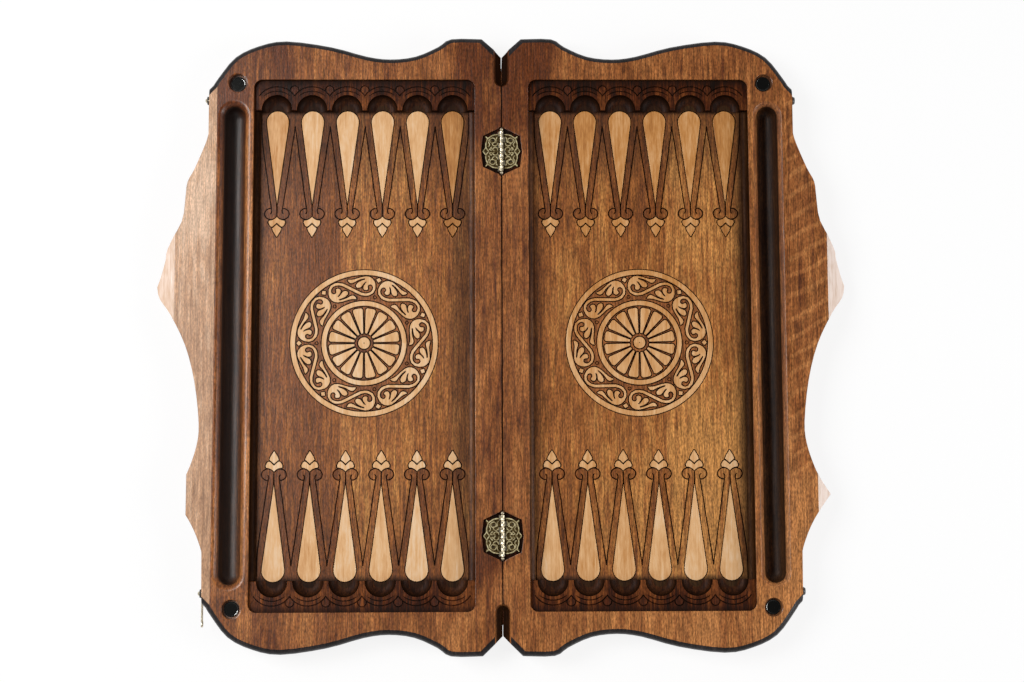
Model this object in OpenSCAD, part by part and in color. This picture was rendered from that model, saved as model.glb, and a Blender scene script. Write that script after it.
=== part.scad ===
// Folding backgammon case, opened flat.
// Two carved wooden halves turn on two brass hinges; +X right, +Y far, +Z up.
// The origin is on the table under the middle of the seam.

/* [Case] */
// Thickness of one half
leaf_h = 36; // [32:0.5:46]
// Half length of the case, middle to end flat
half_len = 309; // [304:1:330]
// Gap between the halves at the seam
seam_gap = 0.8; // [0.4:0.1:1.6]
// Height of the hinge axis above the rim
axis_rise = 0.2; // [0.15:0.05:0.4]
// Width of the rail at the hinges
hinge_rail_w = 26.5; // [24:0.5:34]
// Width of the rail with the checker tray
tray_rail_w = 37; // [34:0.5:46]
// Width of the edge board at the latches
flank_w = 8.2; // [8:0.2:14]

/* [Carved outline] */
// Size of the corner cut beside the seam
notch = 19.2; // [14:0.2:24]
// Length of the straight end beside each corner cut
end_flat = 31; // [24:1:40]
// Depth of the hollow in each end
end_hollow = 21; // [12:0.5:26]
// Distance of that hollow from the field's hinge side wall
hollow_at = 85; // [75:1:95]
// Distance of the crown from the field's outer wall
crown_in = 32; // [24:1:40]
// Drop of the crown beside the corner
crown_drop = 2.3; // [0:0.1:6]
// Drop of the corner from the crown to the flank
corner_drop = 49.5; // [44:0.5:54]
// Reach of the upper bulge beyond the flank
tip_reach = 51.4; // [44:0.2:56]
// Place of the upper bulge along the side
tip_at = 57; // [48:1:66]
// Straight flank between the far corner and the upper bulge's curve
upper_flank = 46.2; // [40:0.2:54]
// Reach of the shelf above the upper bulge
shelf_reach = 22.2; // [16:0.2:26]
// Reach of the waist between the bulges
waist_reach = 5.4; // [3:0.2:10]
// Place of the waist along the side
waist_at = -80; // [-90:1:-70]
// Reach of the lower bulge beyond the flank
low_tip_reach = 32; // [26:0.5:40]
// Place of the lower bulge along the side
low_tip_at = -152; // [-160:1:-144]
// Straight flank between the near corner and the lower bulge's curve
lower_flank = 47.2; // [41:0.2:55]
// Reach of the left lower bulge, which is cut blunt
blunt_reach = 16.8; // [12:0.2:24]
// Reach at which the upper bulge starts to slope
slope_reach = 31.8; // [24:0.2:40]
// Reach at which the lower bulge starts to slope
low_slope_reach = 17.4; // [14:0.2:24]
// Angle of the sloped bulge faces
slope_angle = 40; // [25:1:55]

/* [Playing field] */
// Width of one field
field_w = 222; // [216:0.5:240]
// Width of the end rails at the flat ends
end_rail_w = 43; // [36:0.5:50]
// Width of the inner floor stave
inner_stave_w = 62; // [50:1:80]
// Width of the outer floor stave
outer_stave_w = 86; // [60:1:95]
// Depth of the field below the rim
field_depth = 14.5; // [12:0.5:18]
// Radius of the field corners
field_corner_r = 8; // [4:0.5:12]
// Radius of the cove at the foot of the side walls
cove_r = 6; // [3:0.5:8]
// Drop of the comb's top below the rim
comb_drop = 5; // [3:0.5:7]
// Depth of the comb from the end wall to its front
comb_w = 30.5; // [27:0.1:34]
// Radius of one scallop
scallop_r = 15.4; // [14:0.1:16]
// Radius of the hollow at the foot of a scallop
scoop_r = 8.7; // [5:0.1:9]
// Distance of the scallop centres from the end wall
scallop_back = 30; // [27:0.1:33]

/* [Points] */
// Spacing of the points
point_pitch = 35.4; // [34:0.1:36]
// Number of points along one end
point_count = 6; // [4:1:6]
// Radius of a point's round end
point_r = 11.2; // [9:0.1:13]
// Length from the round end's centre to the tip
point_len = 84; // [70:1:95]
// Distance of the round end's centre from the end wall
point_back = 40.6; // [38:0.1:46]
// Depth of the inlay pockets
pocket_d = 2; // [1.2:0.1:3]
// Height of the inlays above the floor
inlay_proud = 0.4; // [0.1:0.1:0.8]
// Width of the engraved gap round an inlay
groove_w = 0.9; // [0.5:0.1:1.2]
// Distance from a point's tip to its fleuron
fleuron_gap = 13.4; // [11:0.2:16]
// Width of a fleuron
fleuron_w = 16.6; // [13:0.2:20]

/* [Medallion] */
// Outer radius of the medallion
medallion_r = 73.7; // [66:0.1:78]
// Width of the outer ring
outer_ring_w = 4.8; // [3:0.1:6]
// Outer radius of the inner ring, in parts of the medallion's
inner_ring_share = 0.575; // [0.55:0.005:0.6]
// Width of the inner ring
inner_ring_w = 4.6; // [3:0.1:6]
// Radius of the centre boss
boss_r = 5.8; // [4:0.1:7]
// Number of petals
petal_count = 16; // [12:1:18]
// Number of scrolls
scroll_count = 7; // [5:1:7]
// Length of one scroll along the band, in parts of the medallion's radius
scroll_share = 0.651; // [0.6:0.001:0.66]
// Width of the small diamonds between the scrolls
diamond_w = 5.2; // [4:0.2:6]
// Depth of the sunk medallion ground
medallion_sink = 0.8; // [0.5:0.1:1.4]

/* [Checker tray] */
// Distance of the tray's ends from the case's ends
tray_back = 66; // [63:1:110]
// Width of the tray inside
tray_w = 20.8; // [18:0.2:22]
// Depth of the tray
tray_depth = 24; // [18:0.5:27]
// Width of the tray's lip
tray_lip = 4; // [2:0.1:4.5]

/* [Corner magnets] */
// Distance of a magnet from the tray rail's inner side
magnet_in = 16.4; // [14:0.1:20]
// Distance of the magnets from the case's ends
magnet_back = 46.5; // [42:0.5:49]
// Radius of the recess
recess_r = 9.2; // [8.4:0.1:9.4]
// Depth of the magnet's face below the rim
recess_d = 5.5; // [4:0.5:12]
// Radius of the magnet
magnet_r = 7.7; // [6:0.1:8]
// Thickness of the magnet
magnet_t = 3.5; // [2:0.5:5]

/* [Finger coves] */
// Half width of a finger cove at the rim
finger_w = 7.8; // [6:0.1:9]
// Depth of a finger cove
finger_d = 5.4; // [3:0.1:7]
// Length of a finger cove from the corner cut
finger_len = 31.5; // [26:0.5:36]

/* [Hinges] */
// Distance of the hinges from the case's ends
hinge_back = 116.8; // [100:0.2:130]
// Reach of a hinge leaf from the axis
hinge_reach = 19.4; // [18:0.1:21]
// Half height of a hinge leaf at the barrel
hinge_half = 17.9; // [16.5:0.1:19]
// Thickness of a hinge leaf
leaf_t = 1.6; // [1.2:0.1:2]
// Drop of a hinge leaf below the rim
leaf_drop = 0.4; // [0.2:0.1:0.8]
// Radius of the hinge barrel
barrel_r = 2.1; // [1.9:0.05:2.3]
// Number of knuckles
knuckles = 7; // [5:2:9]
// Length of one knuckle with its gap
knuckle_pitch = 5.9; // [5:0.1:6.4]
// Gap between knuckles
knuckle_gap = 0.3; // [0.2:0.05:0.5]
// Radius of the hinge pin
pin_r = 0.9; // [0.7:0.05:1.1]
// Running clearance round the pin
pin_play = 0.06; // [0.03:0.01:0.1]
// Radius of the ball finials
finial_r = 1.9; // [1.4:0.1:2]
// Clearance round the hinge in its mortise
mortise_gap = 1.2; // [0.6:0.1:1.6]
// Distance of the hinge screws from the axis
hinge_screw_x = 9; // [8:0.1:10]
// Distance of the hinge screws from the hinge's middle
hinge_screw_y = 11; // [9.5:0.1:11.5]
// Radius of the hinge screws
hinge_screw_r = 1.1; // [0.9:0.05:1.2]
// Length of the hinge screws
hinge_screw_len = 12; // [8:1:14]

/* [Latches] */
// Distance of the latches from the case's ends
latch_back = 61.5; // [57:0.5:65]
// Depth of the latch pivots below the rim
latch_drop = 14.4; // [13:0.1:17]
// Radius of the pivot screws and studs
latch_pin_r = 1.5; // [1.2:0.1:1.8]
// Depth of the latch screws in the wood
latch_pin_in = 7.2; // [5:0.2:7.6]
// Thickness of a hook
hook_t = 1.6; // [1.2:0.1:2]
// Radius of a hook's eye
hook_eye_r = 4.2; // [3.4:0.1:4.8]
// Width of a hook's arm
hook_arm_w = 3.6; // [3:0.1:4.4]
// Running clearance of a hook on its pivot
hook_play = 0.08; // [0.04:0.01:0.1]
// Clearance of a hook round its stud
stud_play = 0.35; // [0.3:0.05:0.5]
// Gap beside a hook
hook_gap = 0.3; // [0.2:0.05:0.5]
// Thickness of the dark washers
washer_t = 1.4; // [0.8:0.1:2]
// Radius of the stud heads
stud_head_r = 4.5; // [3.6:0.1:5]
// Thickness of the stud heads
stud_head_t = 2.5; // [1.5:0.1:3]

/* [Hidden] */
$fn = 48;
eps = 0.01;
over = 1;
seam_x = seam_gap / 2;
field_x = seam_x + hinge_rail_w;
field_out = field_x + field_w;
edge_x = field_out + tray_rail_w;
flank_x = edge_x + flank_w;
axis_z = leaf_h + axis_rise;
field_half = half_len - end_rail_w;
flank_half = half_len - crown_drop - corner_drop;
upper_span = flank_half - upper_flank - tip_at;
low_span = flank_half - lower_flank + low_tip_at;
hinge_at = half_len - hinge_back;
magnet_at = half_len - magnet_back;
latch_at = half_len - latch_back;
tray_half = half_len - tray_back;
floor_z = leaf_h - field_depth;
comb_z = leaf_h - comb_drop;
comb_front = field_half - comb_w;
scallop_y = field_half - scallop_back;
field_mid = field_x + field_w / 2;
point_y = field_half - point_back;
fleuron_y = point_y - point_len - fleuron_gap - 0.7 * fleuron_w;
stave_a = field_x + inner_stave_w;
stave_b = field_out - outer_stave_w;
magnet_x = field_out + magnet_in;
tray_x = field_out + tray_rail_w / 2 + 1;
latch_z = leaf_h - latch_drop;
hook_len = 2 * (axis_z - latch_z);
hook_x = flank_x + hook_gap;
washer_x = hook_x + hook_t + hook_gap;
mortise_z = leaf_h - leaf_drop - leaf_t;
outline_steps = 3;
point_xs = [for (i = [0:point_count - 1]) field_mid + (i - (point_count - 1) / 2) * point_pitch];
scroll_turn = 360 / scroll_count;
inner_ring_r = inner_ring_share * medallion_r;
scroll_w = scroll_share * medallion_r;
// 1 where a scroll's stem runs from the outer ring to the inner ring, 0 where it runs back
scroll_flip = [0, 1, 0, 1, 1, 0, 1];
wood_mid = "#8f5f3c";
wood_rail = "#7d452b";
wood_dark = "#2a1c18";
wood_pale = "#dfb98c";
brass = "#b09a66";
nickel = "#3b3b3d";

// Smooth curve through a list of points
function spline(p0, p1, p2, p3, t) =
    0.5 * (2 * p1 + (p2 - p0) * t + (2 * p0 - 5 * p1 + 4 * p2 - p3) * t * t
    + (3 * p1 - p0 - 3 * p2 + p3) * t * t * t);
function curve(pts, n = outline_steps) = [
    for (i = [0:len(pts) - 2], k = [0:n - 1])
        spline(pts[max(i - 1, 0)], pts[i], pts[i + 1], pts[min(i + 2, len(pts) - 1)], k / n)
];
function flipped(pts) = [for (i = [len(pts) - 1:-1:0]) [pts[i][0], -pts[i][1]]];
function grown(pts, mid, k) = [for (p = pts) mid + (p - mid) * k];
function mirrored(pts) = concat(pts, [for (i = [len(pts) - 1:-1:0]) [-pts[i][0], pts[i][1]]]);

// One end of a half from the flat round the corner to the flank
flat_x = seam_x + notch + end_flat;
hollow_x = field_x + hollow_at;
crown_x = field_out - crown_in;
crown_y = half_len - crown_drop;
function before_hollow(k) = flat_x + k * (hollow_x - flat_x);
function after_hollow(k) = hollow_x + k * (crown_x - hollow_x);
function corner(kx, ky) = [crown_x + kx * (flank_x - crown_x), crown_y - ky * corner_drop];
end_line = concat(
    [[seam_x, half_len - notch]],
    curve([
        [seam_x + notch, half_len], [flat_x, half_len],
        [before_hollow(0.22), half_len - 0.39 * end_hollow], [before_hollow(0.59), half_len - 0.86 * end_hollow],
        [hollow_x, half_len - end_hollow], [after_hollow(0.23), half_len - 0.86 * end_hollow],
        [after_hollow(0.57), half_len - 0.4 * end_hollow], [crown_x, crown_y],
        corner(0.36, 0.1), corner(0.67, 0.34), corner(0.89, 0.77), corner(0.97, 0.97)
    ])
);

// The long side from the far corner to the near corner, as reach beyond the flank
function reach(r, y) = [flank_x + r, y];
function upper(k) = tip_at + k * upper_span;
function middle(k) = tip_at - k * (tip_at - waist_at);
function under_waist(k) = waist_at - k * (waist_at - low_tip_at);
function lower(k) = low_tip_at - k * low_span;
side_line = concat(
    [[flank_x, crown_y - corner_drop]],
    curve([
        reach(0, upper(1)), reach(0.135 * shelf_reach, upper(0.93)), reach(0.6 * shelf_reach, upper(0.766)),
        reach(0.92 * shelf_reach, upper(0.675)), reach(shelf_reach, upper(0.57)),
        reach(1.15 * shelf_reach, upper(0.415)), reach(0.78 * tip_reach, upper(0.24)),
        reach(0.82 * tip_reach, upper(0.17)), reach(0.92 * tip_reach, upper(0.065)), reach(tip_reach, tip_at)
    ]),
    curve([
        reach(tip_reach, tip_at), reach(0.94 * tip_reach, middle(0.09)), reach(0.68 * tip_reach, middle(0.22)),
        reach(0.39 * tip_reach, middle(0.44)), reach(0.15 * tip_reach + waist_reach / 2, middle(0.7)),
        reach(waist_reach, waist_at), reach(1.3 * waist_reach, under_waist(0.305)),
        reach(0.43 * low_tip_reach, under_waist(0.61)), reach(0.62 * low_tip_reach, under_waist(0.78)),
        reach(low_tip_reach, low_tip_at)
    ]),
    curve([
        reach(low_tip_reach, low_tip_at), reach(0.54 * low_tip_reach, lower(0.31)),
        reach(0.26 * low_tip_reach, lower(0.585)), reach(0.075 * low_tip_reach, lower(0.845)), reach(0, lower(1))
    ])
);
half_outline = concat(end_line, side_line, [[flank_x, corner_drop - crown_y]], flipped(end_line));

// Teardrop with its round end at the origin and its tip towards -Y
function teardrop(r, length, grow = 0) =
    let (a = asin(r / length), big = r + grow)
    concat([[0, -length - grow / sin(a)]], [for (i = [0:12]) let (t = -a + i * (180 + 2 * a) / 12) big * [cos(t), sin(t)]]);

// Two-lobed base and pointed drop of a fleuron, in parts of its width
fleuron_base = mirrored([
    [0, 0.7], [-0.14, 0.57], [-0.3, 0.5], [-0.48, 0.47], [-0.5, 0.34], [-0.42, 0.17], [-0.32, 0.1],
    [-0.23, 0.13], [-0.11, 0.24], [0, 0.35]
]);
fleuron_tip = [[0, 0.24], [-0.13, 0.12], [-0.28, 0], [-0.22, -0.17], [0, -0.53], [0.22, -0.17], [0.28, 0], [0.13, 0.12]];

// Half of one S-shaped scroll with its leaf, in parts of its length: +X along the band, +Y outwards
scroll_half = [
    [0.019, -0.019], [-0.067, -0.092], [-0.154, -0.16], [-0.246, -0.196], [-0.315, -0.204], [-0.412, -0.175],
    [-0.477, -0.102], [-0.5, -0.004], [-0.494, 0.067], [-0.465, 0.131], [-0.412, 0.179], [-0.344, 0.204],
    [-0.26, 0.208], [-0.177, 0.202], [-0.094, 0.196], [-0.031, 0.202], [0.046, 0.221], [0.035, 0.175],
    [0.006, 0.138], [-0.031, 0.127], [-0.083, 0.138], [-0.146, 0.158], [-0.219, 0.169], [-0.302, 0.171],
    [-0.319, 0.156], [-0.302, 0.142], [-0.229, 0.133], [-0.167, 0.117], [-0.117, 0.088], [-0.096, 0.05],
    [-0.108, 0.015], [-0.146, 0], [-0.188, 0.004], [-0.229, 0.035], [-0.271, 0.075], [-0.317, 0.096],
    [-0.331, 0.083], [-0.296, 0.054], [-0.256, 0.017], [-0.235, -0.029], [-0.25, -0.067], [-0.288, -0.083],
    [-0.325, -0.077], [-0.331, -0.046], [-0.331, -0.013], [-0.354, 0.013], [-0.392, 0.019], [-0.427, -0.004],
    [-0.44, -0.05], [-0.421, -0.102], [-0.375, -0.142], [-0.313, -0.152], [-0.25, -0.146], [-0.179, -0.113],
    [-0.104, -0.05]
];

// Everything below is drawn for the right half; the left half is its mirror image.
module on_side(side) {
    if (side == "left") mirror([1, 0, 0]) children();
    else children();
}

// A strip of the half between two distances from the hinge axis
module strip(x0, x1, y0 = -half_len - over, y1 = half_len + over) {
    linear_extrude(leaf_h) intersection() {
        polygon(half_outline);
        translate([x0, y0]) square([x1 - x0, y1 - y0]);
    }
}

// Sloped face on a bulge
module slope_cut(x, y0, y1) {
    translate([x, y0, leaf_h]) rotate([0, slope_angle, 0]) cube([tip_reach, y1 - y0, leaf_h]);
}

module edge_board(side) {
    color(wood_mid) on_side(side) difference() {
        strip(edge_x, flank_x + tip_reach + over);
        slope_cut(flank_x + slope_reach, tip_at - upper_span / 2, tip_at + upper_span / 2);
        slope_cut(flank_x + low_slope_reach, low_tip_at - low_span, low_tip_at + low_span / 2);
        if (side == "left") translate([flank_x + blunt_reach, low_tip_at - low_span / 3, -over])
            cube([tip_reach, waist_at - low_tip_at, leaf_h + 2 * over]);
        for (s = [-1, 1]) translate([flank_x - latch_pin_in, s * latch_at, latch_z]) rotate([0, 90, 0])
            cylinder(r = latch_pin_r, h = latch_pin_in + over);
    }
}

// Round-bottomed tray with a flared lip
module tray_cut() {
    inner_r = tray_w / 2;
    straight = tray_half - inner_r - tray_lip;
    low = leaf_h - tray_depth + inner_r;
    translate([tray_x, 0, 0]) {
        translate([-inner_r, -straight, low]) cube([tray_w, 2 * straight, tray_depth]);
        translate([0, -straight, low]) rotate([-90, 0, 0]) cylinder(r = inner_r, h = 2 * straight);
        for (s = [-1, 1]) translate([0, s * straight, 0]) {
            translate([0, 0, low]) cylinder(r = inner_r, h = tray_depth);
            translate([0, 0, low]) sphere(r = inner_r);
            translate([0, 0, leaf_h - tray_lip]) cylinder(r1 = inner_r, r2 = inner_r + tray_lip + eps, h = tray_lip + eps);
        }
        translate([0, straight, leaf_h - tray_lip]) rotate([90, 0, 0]) linear_extrude(2 * straight)
            polygon([[-inner_r, 0], [inner_r, 0], [inner_r + tray_lip + eps, tray_lip + eps], [-inner_r - tray_lip - eps, tray_lip + eps]]);
    }
}

module magnet_bores() {
    for (s = [-1, 1]) translate([magnet_x, s * magnet_at, 0]) {
        translate([0, 0, leaf_h - recess_d]) cylinder(r = recess_r, h = recess_d + over);
        translate([0, 0, leaf_h - recess_d - magnet_t]) cylinder(r = magnet_r, h = magnet_t + over);
    }
}

// Cove along the foot of a side wall, from the wall at the origin towards +X
module wall_cove() {
    toe = 0.3;
    rotate([90, 0, 0]) linear_extrude(2 * comb_front, center = true) difference() {
        square(cove_r);
        translate([cove_r, cove_r + toe]) circle(r = cove_r);
    }
}

module tray_rail(side) {
    color(wood_mid) on_side(side) {
        difference() {
            strip(field_out, edge_x);
            tray_cut();
            magnet_bores();
        }
        translate([field_out + eps, 0, floor_z]) mirror([1, 0, 0]) wall_cove();
    }
}

// Elongated mortise of one hinge half, as a flat shape from the seam outwards
module mortise_shape() {
    polygon([
        [0, hinge_half + 5.6 + mortise_gap], [hinge_reach - 0.8, hinge_half - 2], [hinge_reach + mortise_gap, 0],
        [hinge_reach - 0.8, 2 - hinge_half], [0, -hinge_half - 5.6 - mortise_gap]
    ]);
}

module hinge_rail(side) {
    barrel_room = barrel_r + 0.5;
    barrel_half = knuckles * knuckle_pitch / 2 + 2 * finial_r + 0.5;
    finger_lift = (finger_w * finger_w - finger_d * finger_d) / (2 * finger_d);
    finger_r = finger_lift + finger_d;
    color(wood_rail) on_side(side) {
        difference() {
            strip(seam_x, field_x);
            for (s = [-1, 1]) translate([0, s * hinge_at, 0]) {
                translate([0, 0, mortise_z]) linear_extrude(leaf_h) mortise_shape();
                translate([0, -barrel_half, axis_z]) rotate([-90, 0, 0])
                    cylinder(r = barrel_room, h = 2 * barrel_half);
                for (t = [-1, 1]) translate([hinge_screw_x, t * hinge_screw_y, mortise_z - hinge_screw_len + leaf_t])
                    cylinder(r = hinge_screw_r, h = hinge_screw_len);
            }
            for (s = [-1, 1]) {
                translate([0, s * (half_len - notch - finger_len + finger_w), leaf_h + finger_lift]) {
                    rotate([-90 * s, 0, 0]) cylinder(r = finger_r, h = finger_len + notch);
                    sphere(r = finger_r);
                }
            }
        }
        translate([field_x - eps, 0, floor_z]) wall_cove();
    }
}

// Fills one rounded corner of the field above the comb
module field_corner() {
    translate([0, 0, comb_z]) linear_extrude(leaf_h - comb_z) difference() {
        square(field_corner_r);
        translate([field_corner_r, field_corner_r]) circle(r = field_corner_r);
    }
}

module end_rail(side, s) {
    color(wood_mid) on_side(side) mirror([0, s < 0 ? 1 : 0, 0]) {
        strip(field_x, field_out, field_half);
        translate([field_x, field_half + eps, 0]) mirror([0, 1, 0]) field_corner();
        translate([field_out, field_half + eps, 0]) mirror([0, 1, 0]) mirror([1, 0, 0]) field_corner();
    }
}

// Places an inlay outline on every point of one end
module on_points(s) {
    for (x = point_xs) translate([x, 0]) mirror([0, s < 0 ? 1 : 0]) children();
}

module point_shape(grow = 0) {
    translate([0, point_y]) polygon(teardrop(point_r, point_len, grow));
}

module fleuron_shape(k = 1) {
    translate([0, fleuron_y]) {
        polygon(fleuron_w * grown(fleuron_base, [0, 0.36], k));
        polygon(fleuron_w * grown(fleuron_tip, [0, -0.09], k));
    }
}

module stave(side, x0, x1) {
    color(wood_mid) on_side(side) difference() {
        translate([x0, -field_half, 0]) cube([x1 - x0, 2 * field_half, floor_z]);
        translate([0, 0, floor_z - pocket_d]) linear_extrude(field_depth) for (s = [-1, 1]) {
            on_points(s) point_shape(groove_w);
            on_points(s) fleuron_shape(1 + 2.7 * groove_w / fleuron_w);
        }
        translate([field_mid, 0, floor_z - medallion_sink])
            cylinder(r = medallion_r + groove_w, h = field_depth);
    }
}

// Hollow at the foot of one scallop
module scoop() {
    flat_r = scallop_r - scoop_r;
    translate([0, 0, floor_z + scoop_r]) rotate_extrude() intersection() {
        translate([flat_r, 0]) circle(r = scoop_r);
        translate([0, -scoop_r]) square([scallop_r, 2 * scoop_r]);
    }
    translate([0, 0, floor_z - over]) cylinder(r = flat_r, h = field_depth);
    translate([0, 0, floor_z + scoop_r]) cylinder(r = scallop_r, h = field_depth);
}

module comb(side, s) {
    color(wood_dark) on_side(side) mirror([0, s < 0 ? 1 : 0, 0]) difference() {
        translate([field_x, comb_front, floor_z]) cube([field_w, comb_w, comb_z - floor_z]);
        for (x = point_xs) translate([x, scallop_y, 0]) scoop();
    }
}

module point_inlays(side, s) {
    color(wood_pale) on_side(side) translate([0, 0, floor_z - pocket_d])
        linear_extrude(pocket_d + inlay_proud) on_points(s) point_shape();
}

module fleuron_inlays(side, s) {
    color(wood_pale) on_side(side) translate([0, 0, floor_z - pocket_d])
        linear_extrude(pocket_d + inlay_proud) on_points(s) fleuron_shape();
}

module on_medallion(side) {
    color(wood_pale) on_side(side) translate([field_mid, 0, floor_z - medallion_sink])
        linear_extrude(medallion_sink + inlay_proud) children();
}

module ring(r, w) {
    difference() {
        circle(r = r);
        circle(r = r - w);
    }
}

module medallion_rings(side) {
    on_medallion(side) {
        ring(medallion_r, outer_ring_w);
        ring(inner_ring_r, inner_ring_w);
        circle(r = boss_r);
    }
}

// One petal along +X, rounded at its outer corners
module petal() {
    r_in = boss_r + 4;
    r_out = inner_ring_r - inner_ring_w - 2.6;
    w_in = r_in * tan(180 / petal_count) - 1;
    w_out = r_out * tan(180 / petal_count) - 2;
    round_r = w_out * 0.45;
    polygon(concat(
        [[r_in, -w_in]],
        [for (a = [-90:30:0]) [r_out - round_r + round_r * cos(a), -w_out + round_r + round_r * sin(a)]],
        [for (a = [0:30:90]) [r_out - round_r + round_r * cos(a), w_out - round_r + round_r * sin(a)]],
        [[r_in, w_in]]
    ));
}

module medallion_petals(side) {
    on_medallion(side) for (i = [0:petal_count - 1]) rotate((i + 0.5) * 360 / petal_count) petal();
}

// One scroll in the band between the rings, centred on +X
module scroll() {
    band_mid = (medallion_r - outer_ring_w + inner_ring_r) / 2;
    translate([band_mid, 0]) rotate(-90) polygon(scroll_w * concat(scroll_half, -scroll_half));
}

module medallion_scrolls(side) {
    diamond_r = medallion_r - outer_ring_w - 0.7 * diamond_w;
    on_medallion(side) for (i = [0:scroll_count - 1]) {
        rotate((i + 0.5) * scroll_turn) mirror([0, 1 - scroll_flip[i]]) scroll();
        rotate(i * scroll_turn) translate([diamond_r, 0])
            polygon(diamond_w * [[-0.54, 0], [0, -0.5], [0.42, 0], [0, 0.5]]);
    }
}

module corner_magnets(side) {
    color(nickel) on_side(side) for (s = [-1, 1])
        translate([magnet_x, s * magnet_at, leaf_h - recess_d - magnet_t]) cylinder(r = magnet_r, h = magnet_t);
}

// Ornate outline of one hinge leaf, from the barrel outwards
function leaf_outline(room) = mirrored_y([
    [room, hinge_half], [8, hinge_half - 1.6], [13, hinge_half - 1.8], [16.4, hinge_half - 2.6],
    [15, hinge_half - 6], [14, hinge_half - 9.4], [14.8, hinge_half - 13], [17.2, 2.4], [hinge_reach, 0]
]);
function mirrored_y(pts) = concat(pts, [for (i = [len(pts) - 2:-1:0]) [pts[i][0], -pts[i][1]]]);

module hinge_leaf(side, s) {
    room = barrel_r + 0.4;
    first = side == "left" ? 0 : 1;
    half = knuckles * knuckle_pitch / 2;
    top = leaf_h - leaf_drop;
    color(brass) on_side(side) translate([0, s * hinge_at, 0]) difference() {
        union() {
            translate([0, 0, top - leaf_t]) linear_extrude(leaf_t) polygon(leaf_outline(room));
            for (k = [first:2:knuckles - 1]) translate([0, -half + k * knuckle_pitch + knuckle_gap / 2, 0]) {
                translate([0, 0, axis_z]) rotate([-90, 0, 0])
                    cylinder(r = barrel_r, h = knuckle_pitch - knuckle_gap);
                translate([0, 0, top - leaf_t])
                    cube([room + over, knuckle_pitch - knuckle_gap, leaf_t]);
            }
        }
        translate([0, -half - over, axis_z]) rotate([-90, 0, 0])
            cylinder(r = pin_r + pin_play, h = 2 * half + 2 * over);
        for (t = [-1, 1]) translate([hinge_screw_x, t * hinge_screw_y, top - leaf_t]) {
            translate([0, 0, -over]) cylinder(r = hinge_screw_r, h = leaf_t + 2 * over);
            translate([0, 0, leaf_t - 0.9]) cylinder(r1 = hinge_screw_r, r2 = hinge_screw_r + 0.9 + eps, h = 0.9 + eps);
        }
        for (t = [-1, 1]) translate([0, 0, top - leaf_t - over]) {
            translate([8.2, t * 4.6, 0]) cylinder(r = 2.2, h = leaf_t + 2 * over);
            translate([13.6, 0, 0]) cylinder(r = 1.5, h = leaf_t + 2 * over);
        }
    }
}

module hinge_pin(s) {
    half = knuckles * knuckle_pitch / 2;
    ball_at = half + finial_r - 0.4;
    color(brass) translate([0, s * hinge_at, axis_z]) {
        translate([0, -ball_at, 0]) rotate([-90, 0, 0]) cylinder(r = pin_r, h = 2 * ball_at);
        for (t = [-1, 1]) translate([0, t * ball_at, 0]) sphere(r = finial_r);
    }
}

module hinge_screws(side) {
    top = leaf_h - leaf_drop;
    color(brass) on_side(side) for (s = [-1, 1], t = [-1, 1])
        translate([hinge_screw_x, s * hinge_at + t * hinge_screw_y, top - hinge_screw_len]) {
            cylinder(r = hinge_screw_r, h = hinge_screw_len - 0.9 + eps);
            translate([0, 0, hinge_screw_len - 0.9]) cylinder(r1 = hinge_screw_r, r2 = hinge_screw_r + 0.9, h = 0.9);
        }
}

// Flat hook: its eye on the pivot, its notch open upwards over the stud's place
module hook(s) {
    notch_r = latch_pin_r + stud_play;
    color(brass) on_side("left") translate([hook_x, s * latch_at, latch_z]) rotate([90, 0, 90]) linear_extrude(hook_t) difference() {
        union() {
            circle(r = hook_eye_r);
            translate([-hook_len, -hook_arm_w / 2]) square([hook_len, hook_arm_w]);
            translate([-hook_len, 0]) circle(r = notch_r + 1.8);
        }
        circle(r = latch_pin_r + hook_play);
        translate([-hook_len, 0]) circle(r = notch_r);
        translate([-hook_len - notch_r, 0]) square([2 * notch_r, hook_eye_r + over]);
    }
}

module latch_pivot_screws() {
    shank = latch_pin_in + hook_gap + hook_t + hook_gap + washer_t;
    color(brass) on_side("left") for (s = [-1, 1])
        translate([flank_x - latch_pin_in, s * latch_at, latch_z]) rotate([0, 90, 0]) {
            cylinder(r = latch_pin_r, h = shank + eps);
            translate([0, 0, shank]) cylinder(r1 = 2.8, r2 = 1.4, h = 2);
        }
}

module latch_washers() {
    color(nickel) on_side("left") for (s = [-1, 1])
        translate([washer_x, s * latch_at, latch_z]) rotate([0, 90, 0]) difference() {
            cylinder(r = hook_eye_r, h = washer_t);
            translate([0, 0, -over]) cylinder(r = latch_pin_r, h = washer_t + 2 * over);
        }
}

module latch_studs() {
    shank = latch_pin_in + 2 * hook_gap + hook_t;
    color(nickel) for (s = [-1, 1])
        translate([flank_x - latch_pin_in, s * latch_at, latch_z]) rotate([0, 90, 0]) {
            cylinder(r = latch_pin_r, h = shank + eps);
            translate([0, 0, shank]) cylinder(r1 = stud_head_r, r2 = stud_head_r - 1.2, h = stud_head_t);
        }
}

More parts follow.
